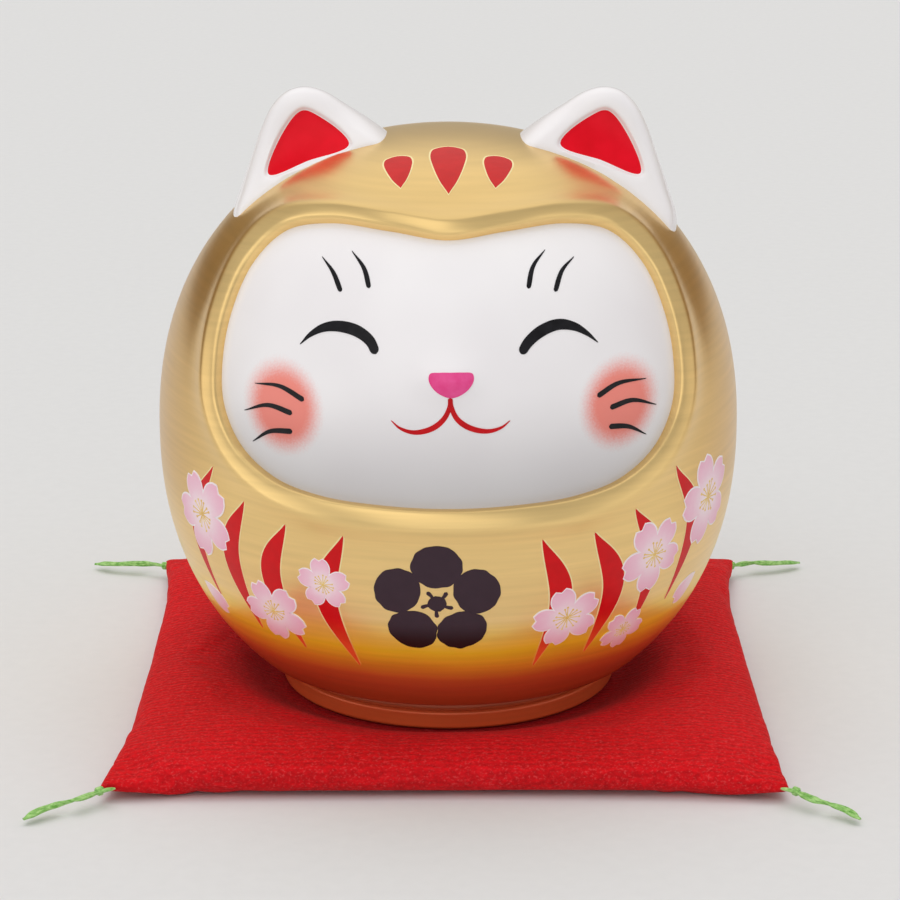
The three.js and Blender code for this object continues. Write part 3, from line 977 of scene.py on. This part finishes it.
def crown_flames(ground, red, pale):
    paint = Paint(on_crown, ground)
    for flame in FLAMES:
        for zone, lift, grow in ((1, UNDER, FLAME_EDGE), (0, OVER, 0.0)):
            half = through(FLAME, 40)
            across = half[:, 0] * (flame["half"] + grow)
            along = flame["back"] + grow + half[:, 1] * (flame["front"] - flame["back"] - 2 * grow)
            lean = flame["x"] + (flame["tip"] - flame["x"]) * half[:, 1]
            right = np.column_stack([lean + across, along])
            left = np.column_stack([lean - across, along])[::-1][1:-1]
            paint.patch(np.vstack([right, left]), zone, lift, rings=10)
    return paint.piece("crown_flames", [red, pale])


# Cherry blossoms on the belly: turn and height of the middle, radius, and turn of the first petal.
BLOSSOMS = [
    (-54.6, 51.8, 9.7, 41),
    (-38.0, 33.6, 7.8, 43),
    (-24.4, 42.9, 6.0, 20),
    (24.3, 35.0, 7.8, 36),
    (40.2, 28.4, 5.6, 64),
    (43.4, 45.7, 8.6, 53),
    (60.0, 54.0, 10.2, 36),
]
# Right half of a petal that points along +Y, from the flower's middle to the notch at its tip.
PETAL = [
    (0.0, 0.0), (0.13, 0.13), (0.245, 0.3),
    (0.32, 0.5), (0.345, 0.68), (0.285, 0.86), (0.15, 0.98), (0.0, 0.89),
]
PETALS = 5
PETAL_EDGE = 0.3
STAMENS = 15


class Tangent:
    """Places points of a flat drawing on the body round one spot, in millimetres across and up."""

    def __init__(self, turn, height):
        self.spot = on_belly(np.array([turn, height], float))
        out = outward(self.spot)
        self.across = unit(np.cross((0, 0, 1), out))
        self.up = np.cross(out, self.across)

    def __call__(self, at):
        flat = self.spot + at[..., :1] * self.across + at[..., 1:] * self.up
        return skin(flat - CENTRE)


def spun(points, degrees):
    turn = math.radians(degrees)
    spin = np.array([[math.cos(turn), math.sin(turn)], [-math.sin(turn), math.cos(turn)]])
    return np.asarray(points, float) @ spin


def petal_outline(radius, grow):
    half = through(PETAL[:-1], 34)
    half = np.vstack([half, resample([half[-1], PETAL[-1]], 6)[1:]]) * radius
    loop = np.vstack([half, (half * (-1, 1))[::-1][1:-1]])
    middle = np.array([0, 0.6 * radius])
    away = loop - middle
    return loop + unit(away) * grow, middle


def blossom(paint, turn, height, radius, first):
    """One blossom: notched petals on a white edge, with gold-tipped stamens."""
    paint.place = Tangent(turn, height)
    origin = np.zeros(2)
    tilts = [first - 90 + 360 / PETALS * k + rng.uniform(-3, 3) for k in range(PETALS)]
    sizes = radius * rng.uniform(0.95, 1.04, PETALS)
    for tilt, size in zip(tilts, sizes):
        loop, middle = petal_outline(size, PETAL_EDGE * size / 8)
        paint.patch(spun(loop, tilt), 1, UNDER, spun(middle, tilt), rings=6)
    for k, (tilt, size) in enumerate(zip(tilts, sizes)):
        loop, middle = petal_outline(size, 0.0)
        lift = OVER + 0.004 * k
        paint.patch(spun(loop, tilt), 0, lift, spun(middle, tilt), 8, origin, size)
    for k in range(STAMENS):
        tilt = 360 / STAMENS * k + rng.uniform(-7, 7)
        length = radius * rng.uniform(0.27, 0.4)
        spine = spun([(0, 0.05 * radius), (0, length / 2), (0, length)], tilt)
        paint.stroke(spine, (0.03 * radius, 0.024 * radius), 2, TOP, 3, 8)
        dot(paint, spun([(0, length)], tilt)[0], 0.03 * radius, 2)
    dot(paint, origin, 0.055 * radius, 2)


def dot(paint, at, radius, zone):
    turns = np.linspace(0, 2 * math.pi, 12, endpoint=False)
    loop = at + radius * np.column_stack([np.cos(turns), np.sin(turns)])
    paint.patch(loop, zone, TOP + 0.03, at, rings=2)


# Single petals that drift below the outermost blossoms: turn, height, length and tilt.
LOOSE = [(-59.0, 31.0, 8.6, -128), (59.2, 33.2, 8.2, 128)]


def cherry_blossoms(ground, pink, white, stamen):
    paint = Paint(on_belly, ground)
    paint.raised = OVER
    for turn, height, radius, first in BLOSSOMS:
        blossom(paint, turn, height, radius, first)
    for turn, height, length, tilt in LOOSE:
        paint.place = Tangent(turn, height)
        shift = np.array([0, length / 2])
        for zone, lift, grow in ((1, UNDER, PETAL_EDGE), (0, OVER, 0.0)):
            loop, middle = petal_outline(length, grow)
            at, middle = spun(loop - shift, tilt), spun(middle - shift, tilt)
            paint.patch(at, zone, lift, middle, 8, spun(-shift, tilt), length)
    return paint.piece("cherry_blossoms", [pink, white, stamen])


# The crest on the belly, a plain plum blossom brushed in five round dabs.
CREST = {"turn": -2.1, "height": 40.4, "ring": 8.7, "dab": 5.0, "heart": 1.9, "stamen": 3.5}
CREST_DABS = 5


def rough_loop(radius, roughness, count=96):
    """A round dab whose edge wavers as a dry brush leaves it."""
    turns = np.linspace(0, 2 * math.pi, count, endpoint=False)
    edge = np.ones(count)
    for wave in range(2, 15):
        edge += roughness / wave**0.6 * rng.normal() * np.cos(wave * turns + rng.uniform(0, 6.28))
    return radius * edge[:, None] * np.column_stack([np.cos(turns), np.sin(turns)])


def belly_crest(ground, dark):
    paint = Paint(Tangent(CREST["turn"], CREST["height"]), ground)
    for k in range(CREST_DABS):
        tilt = 360 / CREST_DABS * k
        middle = spun([(0, CREST["ring"])], tilt)[0]
        stretch = np.array([1.08, 0.98])
        loop = middle + spun(rough_loop(CREST["dab"], 0.022) * stretch, tilt)
        paint.patch(loop, 0, OVER, middle, rings=8)
        spine = spun([(0, 1.2), (0.15, 2.2), (0, CREST["stamen"])], tilt + 36)
        paint.stroke(spine, (0.5, 0.75, 1.0), 0, OVER, 3, 10)
    paint.patch(rough_loop(CREST["heart"], 0.03, 48), 0, OVER, (0, 0), rings=4)
    return paint.piece("belly_crest", [dark])


# ---------- the stopper in the base ----------

stopper_low, stopper_high = corners("base_stopper")
PLUG = {"flange": 1.5, "stem": 11.7, "wall": 1.8, "ribs": 3, "first_rib": 6.2, "pitch": 2.2}


def stopper(material):
    """A rubber plug: a flange with a ribbed underside, and a hollow stem with a lead-in."""
    low, radius = stopper_low[2], stopper_high[0]
    seat, top, stem = low + PLUG["flange"], stopper_high[2], PLUG["stem"]
    inner = stem - PLUG["wall"]
    profile = [
        (0.6, low + 0.9), (2.6, low + 0.9), (3.2, low + 0.2),
        (3.6, low), (5.2, low), (5.6, low + 0.2),
    ]
    for rib in range(PLUG["ribs"]):
        start = PLUG["first_rib"] + rib * PLUG["pitch"]
        profile += [(start, low + 0.45), (start + 0.9, low + 0.45)]
        profile += [(start + 1.2, low + 0.05), (start + 1.8, low + 0.05)]
    profile += [
        (radius - 0.5, low + 0.02), (radius - 0.12, low + 0.18), (radius, low + 0.5),
        (radius, seat - 0.2), (radius - 0.2, seat), (stem + 0.4, seat), (stem, seat + 0.4),
        (stem, seat + 2.6), (stem + 0.25, seat + 3.2), (stem + 0.25, seat + 3.8), (stem, seat + 4.4),
        (stem - 0.1, top - 0.9), (stem - 0.8, top), (stem - 1.5, top),
        (inner, top - 0.3), (inner, seat + 0.4), (inner - 0.4, seat), (0.6, seat),
    ]
    rings = turned_rings(profile, 96)
    made = rings_piece("drain_stopper", rings, (0, 0, low + 0.9), (0, 0, seat), [material])
    crease(made, 35)
    return made


# ---------- the cushion ----------

CUSHION = {"pull": 0.02, "seam": 3.0, "rim": 0.5, "crown": 5.4, "power": 6}
CUSHION["half"] = corners("cushion_cover_top")[1][0]
# How far each corner is drawn out of the square, by its sides in X and Y.
TIPS = {
    (-1, -1): (-2.0, 0.2, 0),
    (1, -1): (0.4, -0.5, 0),
    (-1, 1): (-1.8, 2.8, 0.7),
    (1, 1): (2.4, 2.8, 0.7),
}
TIP_POWER = 3.5  # the higher, the closer to its corner a tip's pull stays
SEAT = {"level": 2.5, "inner": 38.8, "outer": 54.0}
CELLS = 44
CROWDING = 1.18  # the higher, the closer the cloth's cells lie towards the edge
# Settings of the cloth simulation, how long it runs, and how far it may move a point.
CLOTH = {
    "quality": 6,
    "mass": 0.15,
    "tension_stiffness": 12,
    "compression_stiffness": 12,
    "shear_stiffness": 6,
    "bending_stiffness": 0.4,
    "use_pressure": True,
    "uniform_pressure_force": 2.2,
    "shrink_min": -0.012,
    "vertex_group_mass": "held",
}
CLOTH_FRAMES = 20
CLOTH_REACH = 0.9
WRINKLE = {"soft": 0.28, "gather": 0.06}


def fullness(x, y):
    """How full the cushion is at a place in its plan: 1 in the middle and 0 along its edge."""
    along = [np.sqrt(np.maximum(0, 1 - np.abs(share) ** CUSHION["power"])) for share in (x, y)]
    return along[0] * along[1]


def cushion_top(x, y):
    reach = np.hypot(x, y) * CUSHION["half"]
    crown = CUSHION["seam"] + CUSHION["rim"] + CUSHION["crown"] * fullness(x, y)
    share = smoothstep(reach, SEAT["inner"], SEAT["outer"])
    return SEAT["level"] + (crown - SEAT["level"]) * share


def cushion_under(x, y):
    rise = CUSHION["seam"] - CUSHION["rim"]
    return rise * np.maximum(0, 1 - 1.6 * fullness(x, y))


def corner_tips(x, y):
    """How far each place is drawn out by the tassel at its corner."""
    near = (np.abs(x) * np.abs(y)) ** TIP_POWER
    drawn = np.zeros((len(x), 3))
    for (side_x, side_y), tip in TIPS.items():
        here = near * (x * side_x > 0) * (y * side_y > 0)
        drawn += np.outer(here, tip)
    return drawn


def cushion(material):
    """The cushion as one closed form, puffed up as cloth and then pressed down under the doll."""
    steps = np.linspace(-1, 1, 2 * CELLS + 1)
    steps = np.sign(steps) * (1 - (1 - np.abs(steps)) ** CROWDING)
    x, y = (g.ravel() for g in np.meshgrid(steps, steps))
    size = len(steps)
    half = CUSHION["half"]
    pull = CUSHION["pull"]
    plan = np.column_stack([x * (1 - pull * (1 - y**2)), y * (1 - pull * (1 - x**2))]) * half
    edge = (np.abs(x) > 1 - 1e-9) | (np.abs(y) > 1 - 1e-9)
    top = np.column_stack([plan, np.where(edge, CUSHION["seam"], cushion_top(x, y))])
    tips = corner_tips(x, y)
    top += tips
    under = (np.column_stack([plan, cushion_under(x, y)]) + tips)[~edge]
    lower = np.full(len(x), -1)
    lower[~edge] = np.arange(len(under)) + len(top)
    lower[edge] = np.nonzero(edge)[0]
    faces = []
    for quad in grid_faces(size, size):
        faces.append(quad)
        faces.append(tuple(int(lower[i]) for i in reversed(quad)))
    made = make_piece("cushion", np.vstack([top, under]), faces, [material])
    rest = mesh_points(made)
    inflate(made, rest)
    settle(made, rest, len(top))
    subdivide(made)
    wrinkle(made)
    return made


def mesh_points(piece):
    flat = np.zeros(len(piece.data.vertices) * 3)
    piece.data.vertices.foreach_get("co", flat)
    return flat.reshape(-1, 3) / MM


def set_points(piece, points):
    piece.data.vertices.foreach_set("co", (points * MM).ravel())
    piece.data.update()


def inflate(piece, rest):
    """Blows the closed cushion up as cloth, held where the doll stands and where it lies."""
    reach = np.hypot(rest[:, 0], rest[:, 1])
    held = (reach < SEAT["inner"] + 2) | ((rest[:, 2] < 0.05) & (reach < SEAT["outer"]))
    corner = np.minimum(np.abs(rest[:, 0]), np.abs(rest[:, 1])) > CUSHION["half"] - 4
    group = piece.vertex_groups.new(name="held")
    group.add(np.nonzero(held | corner)[0].tolist(), 1.0, "REPLACE")
    modifier = piece.modifiers.new("cloth", "CLOTH")
    cloth = modifier.settings
    for setting, value in CLOTH.items():
        setattr(cloth, setting, value)
    cloth.effector_weights.gravity = 0
    modifier.collision_settings.use_collision = False
    modifier.collision_settings.use_self_collision = False
    scene = bpy.context.scene
    for number in range(1, CLOTH_FRAMES + 1):
        scene.frame_set(number)
    apply_modifiers(piece)
    scene.frame_set(1)
    piece.vertex_groups.clear()


def settle(piece, rest, top_count):
    """Caps how far the cloth moved, keeps it above the floor, and presses it under the doll."""
    moved = mesh_points(piece) - rest
    length = np.linalg.norm(moved, axis=1, keepdims=True)
    moved *= np.minimum(1, CLOTH_REACH / np.maximum(length, 1e-6))
    reach = np.hypot(rest[:, 0], rest[:, 1])
    free = smoothstep(reach, SEAT["inner"] + 1, SEAT["outer"])
    points = rest + moved * free[:, None]
    points[:, 2] = np.maximum(points[:, 2], 0)
    under = np.arange(len(points)) >= top_count
    points[under, 2] = np.minimum(points[under, 2], rest[under, 2] + 0.4)
    set_points(piece, points)


def subdivide(piece):
    modifier = piece.modifiers.new("subdivision", "SUBSURF")
    modifier.levels = modifier.render_levels = 1
    apply_modifiers(piece)
    piece.data.shade_smooth()


def wrinkle(piece):
    """Soft dents in the padding, and small gathers along the seam."""
    points = mesh_points(piece)
    x, y, z = points.T
    half = CUSHION["half"]
    reach = np.hypot(x, y)
    from_edge = half - np.maximum(np.abs(x), np.abs(y))
    free = smoothstep(reach, SEAT["inner"] + 1, SEAT["outer"]) * smoothstep(z, 2.6, 4.2)
    soft = np.sin(x * 0.115 + 1.3 * np.sin(y * 0.071)) * np.sin(y * 0.097 + 1.1 * np.sin(x * 0.083))
    along = np.where(np.abs(x) > np.abs(y), y, x)
    gather = np.sin(along * 1.15 + 2.1 * np.sin(along * 0.31))
    gather *= np.exp(-((from_edge - 2.2) / 2.6) ** 2)
    points[:, 2] += free * (WRINKLE["soft"] * soft + WRINKLE["gather"] * gather)
    points[:, 2] = np.maximum(points[:, 2], 0)
    set_points(piece, points)


# ---------- tassels ----------

# Slack flat strands that turn over once and draw in there. Shares are along the tassel.
TASSEL = {"strand": 0.34, "spread": 0.72, "bow": 0.7, "start": 0.1, "blunt": 0.95}
TASSEL_STEPS = 100
STRAND_SIDES = 10
THREADS = (-1.0, -0.5, 0.0, 0.5, 1.0)  # where the threads lie across a tassel
TURN_OVER = {"front": (0.5, 0.6), "back": (0.3, 0.25)}  # where a tassel draws in, and how much
KNOT = {"at": 1.7, "radius": 0.62, "wrap": 0.36, "turns": 2.5}
STUB = {"length": 1.9, "radius": 0.45}
TASSELS = ("front_left", "front_right", "back_left", "back_right")


def tube(line, radii_along, sides):
    """Rings of a tube along a line of points, with a frame that doesn't twist."""
    along = unit(np.gradient(line, axis=0))
    side = np.cross(along[0], (0, 0, 1.0))
    rings = []
    turns = np.linspace(0, 2 * math.pi, sides, endpoint=False)
    for place, way, radius in zip(line, along, radii_along):
        side = side - way * (side @ way)
        side = side / np.linalg.norm(side)
        other = np.cross(way, side)
        rings.append(place + radius * (np.cos(turns)[:, None] * side + np.sin(turns)[:, None] * other))
    return rings


class Threads:
    """Gathers tubes into one piece."""

    def __init__(self):
        self.points, self.faces, self.count = [], [], 0

    def add(self, line, radii_along, sides):
        line = np.asarray(line, float)
        rings = tube(line, radii_along, sides)
        total = len(rings) * sides
        self.points += [np.vstack(rings), line[:1], line[-1:]]
        self.faces += ring_faces(len(rings), sides, self.count)
        self.faces += fan_faces(self.count + total, self.count, sides)
        self.faces += fan_faces(self.count + total + 1, self.count + total - sides, sides)
        self.count += total + 2


def tassel(corner_name, material):
    """Slack strands that turn over once, tied by a few wraps beside the cushion's corner."""
    low, high = corners("tassel_" + corner_name)
    side_x = 1 if "right" in corner_name else -1
    side_y = 1 if "back" in corner_name else -1
    tip = np.array([high[0] if side_x > 0 else low[0], high[1] if side_y > 0 else low[1], 1.2])
    root = np.array([side_x * CUSHION["half"], side_y * CUSHION["half"], 3.0])
    length = np.linalg.norm(tip - root)
    way = (tip - root) / length
    across = unit(np.cross((0, 0, 1.0), way))
    up = np.cross(way, across)
    t = np.linspace(0, 1, TASSEL_STEPS)
    spine = root + np.outer(t * length, way)
    bow = TASSEL["bow"] * np.sin(2 * math.pi * (t - 0.05)) * t * (1 - t) * 4
    spine += np.outer(bow * side_x * side_y, across)
    spine[:, 2] = np.maximum(spine[:, 2] + 0.5 * np.sin(math.pi * t), 1.2)
    threads = Threads()
    cross, drawn_in = TURN_OVER[corner_name.split("_")[0]]
    turn = math.pi * smoothstep(t, cross - 0.2, cross + 0.2)
    width = 1 - drawn_in * np.exp(-(((t - cross) / 0.1) ** 2))
    width *= 0.45 + 0.55 * smoothstep(t, TASSEL["start"], TASSEL["start"] + 0.14)
    width *= 1 - 0.75 * smoothstep(t, TASSEL["blunt"] - 0.12, 1.0) ** 2
    for number, place in enumerate(THREADS):
        angle = turn + 0.15 * np.sin(8 * t + number)
        spread = TASSEL["spread"] * width * (place + 0.12 * np.sin(13 * t + 2 * number))
        line = spine + (np.cos(angle) * spread)[:, None] * across
        line += (np.sin(angle) * spread * 0.6)[:, None] * up
        line[:, 2] += 0.16 * np.cos(math.pi * place / 2) + 0.1 * np.sin(10 * t + 3 * number)
        radius = TASSEL["strand"] * (0.3 + 0.7 * width)
        threads.add(line, radius, STRAND_SIDES)
    turns = np.linspace(0, 1, int(20 * KNOT["turns"]))
    winding = 2 * math.pi * KNOT["turns"] * turns
    ring = root + np.outer(KNOT["at"] - 0.55 + 1.1 * turns, way)
    ring += np.array([0, 0, 0.25])
    ring += KNOT["radius"] * (np.outer(np.cos(winding), across) + np.outer(np.sin(winding), up))
    threads.add(ring, np.full(len(ring), KNOT["wrap"]), 8)
    inward = np.array([-side_x, -0.1 * side_y, 0.0])
    s = np.linspace(0, 1, 24)
    stub = root + np.outer(2.4 * (1 - s) ** 2, way) + np.outer(STUB["length"] * s**1.2, inward)
    stub += np.outer(np.sin(math.pi * np.minimum(s, 0.6)), (0, side_y * 1.5, 0.8))
    threads.add(stub, STUB["radius"] * (1 - 0.7 * s**4), 8)
    points = np.vstack(threads.points)
    points[:, 2] = np.maximum(points[:, 2], 0.02)
    return make_piece("thread_" + corner_name, points, threads.faces, [material])


# ---------- studio ----------

FLOOR = {"half": 6000, "points": 25, "level": -0.15}


def add_floor():
    steps = np.linspace(-FLOOR["half"], FLOOR["half"], FLOOR["points"])
    x, y = (g.ravel() for g in np.meshgrid(steps, steps))
    points = np.column_stack([x, y, np.full(len(x), FLOOR["level"])])
    faces = grid_faces(FLOOR["points"], FLOOR["points"])
    floor = make_piece("floor", points, faces, [studio_paper()])


def add_sun(name, strength, angle, direction):
    data = bpy.data.lights.new(name, "SUN")
    data.energy = strength
    data.angle = math.radians(angle)
    made = bpy.data.objects.new(name, data)
    made.visible_glossy = False  # the world's soft areas are what the gold reflects
    x, y, z = direction
    made.rotation_euler = (math.atan2(math.hypot(x, y), z), 0, math.atan2(x, -y))
    bpy.context.scene.collection.objects.link(made)


# The studio's brightness by direction. Each area has the direction of its middle, the angles in
# degrees where it is full and where it ends, and its brightness. Later areas lie over earlier ones.
PAPER = (0.52, 0.525, 0.535)
AREAS = [
    ((0.0, 1.0, 0.12), 30, 62, (0.41, 0.40, 0.385)),
    ((-0.78, 0.62, -0.02), 23, 47, (0.24, 0.16, 0.08)),
    ((0.8, 0.6, -0.02), 18, 45, (0.28, 0.19, 0.105)),
    ((-0.06, 0.42, 0.9), 22, 47, (0.90, 0.89, 0.87)),
    ((-0.93, -0.36, 0.05), 9, 29, (1.24, 1.23, 1.2)),
    ((0.93, -0.34, 0.05), 8, 26, (0.88, 0.87, 0.85)),
    ((0.0, -0.96, 0.2), 12, 34, (0.96, 0.96, 0.95)),
    ((-0.3, -0.66, 0.66), 11, 27, (1.16, 1.15, 1.12)),
]


def add_world():
    world = bpy.data.worlds.new("studio")
    world.use_nodes = True
    nodes, links = world.node_tree.nodes, world.node_tree.links
    way = nodes.new("ShaderNodeTexCoord").outputs["Generated"]
    colour = (*PAPER, 1)
    for direction, full, end, brightness in AREAS:
        dot = nodes.new("ShaderNodeVectorMath")
        dot.operation = "DOT_PRODUCT"
        links.new(way, dot.inputs[0])
        dot.inputs[1].default_value = unit(np.array(direction)).tolist()
        share = nodes.new("ShaderNodeMapRange")
        share.interpolation_type = "SMOOTHSTEP"
        links.new(dot.outputs["Value"], share.inputs[0])
        share.inputs[1].default_value = math.cos(math.radians(end))
        share.inputs[2].default_value = math.cos(math.radians(full))
        mix = nodes.new("ShaderNodeMix")
        mix.data_type = "RGBA"
        links.new(share.outputs[0], mix.inputs[0])
        if isinstance(colour, tuple):
            mix.inputs[6].default_value = colour
        else:
            links.new(colour, mix.inputs[6])
        mix.inputs[7].default_value = (*brightness, 1)
        colour = mix.outputs[2]
    links.new(colour, nodes["Background"].inputs["Color"])
    bpy.context.scene.world = world


# Each sun's name, strength, width in degrees, and direction.
SUNS = [
    ("overhead", 0.66, 50, (-0.04, 0.26, 1.0)),
    ("key", 0.42, 44, (-0.12, -0.62, 1.0)),
]


def add_lights():
    add_world()
    for sun in SUNS:
        add_sun(*sun)
    bpy.context.scene.view_settings.view_transform = "Standard"


# ---------- the assembly ----------


def fit(piece, body, slot, *nodes):
    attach(piece, body)
    if nodes:
        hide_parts(*nodes)
    return piece


RIGHT_EAR_OUT = 2.8  # how much further out than the left one the right ear stands

add_camera()

white = white_glaze()
lining = red_glaze()
shell = fit(gold_shell(gold_lacquer()), "doll", "gold_ceramic", "body_shell")
ground = BVHTree.FromObject(shell, bpy.context.evaluated_depsgraph_get())
fit(white_face(white_glaze(BLUSHES)), "doll", "white_glaze", "face_panel")
fit(ear("left_ear", -1, 0.0, [white, lining]), "doll", "white_glaze", "ear_left")
fit(ear("right_ear", 1, RIGHT_EAR_OUT, [white, lining]), "doll", "white_glaze", "ear_right")

ink = brushed_paint("black_enamel", rgb(14, 13, 16), rgb(30, 29, 33))
stripe_red = faded_paint("stripe_red", rgb(214, 8, 18), rgb(240, 84, 44), 36, 24)
pale_line = faded_paint("pale_line", rgb(250, 234, 176), rgb(240, 160, 70), 38, 26)
flame_red = faded_paint("flame_red", rgb(204, 34, 34), rgb(204, 34, 34), 36, 24)
mouth_red = brushed_paint("mouth_red", rgb(190, 4, 14), rgb(206, 10, 22))
nose_pink = brushed_paint("nose_pink", rgb(228, 66, 134), rgb(234, 88, 152), 0.25)
crest_brown = faded_paint("crest_brown", rgb(60, 42, 52), rgb(36, 6, 8), 36, 30)
petal_white = faded_paint("petal_white", rgb(253, 244, 247), rgb(250, 206, 190), 36, 24)
stamen_gold = brushed_paint("stamen_gold", rgb(232, 192, 108), rgb(246, 218, 140))

for paint in (
    face_paint(ink, mouth_red, nose_pink),
    belly_stripes(ground, stripe_red, pale_line),
    crown_flames(ground, flame_red, pale_line),
    cherry_blossoms(ground, petal_paint(), petal_white, stamen_gold),
    belly_crest(ground, crest_brown),
):
    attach(paint, "doll")

fit(stopper(rubber()), "stopper", "stopper_rubber", "base_stopper")
pad = cushion(crepe())
fit(pad, "cushion", "red_crepe", "cushion_cover_top", "cushion_cover_bottom", "cushion_wadding")
green = thread()
for corner_name in TASSELS:
    fit(tassel(corner_name, green), "cushion", "green_thread", "tassel_" + corner_name)

add_floor()
add_lights()
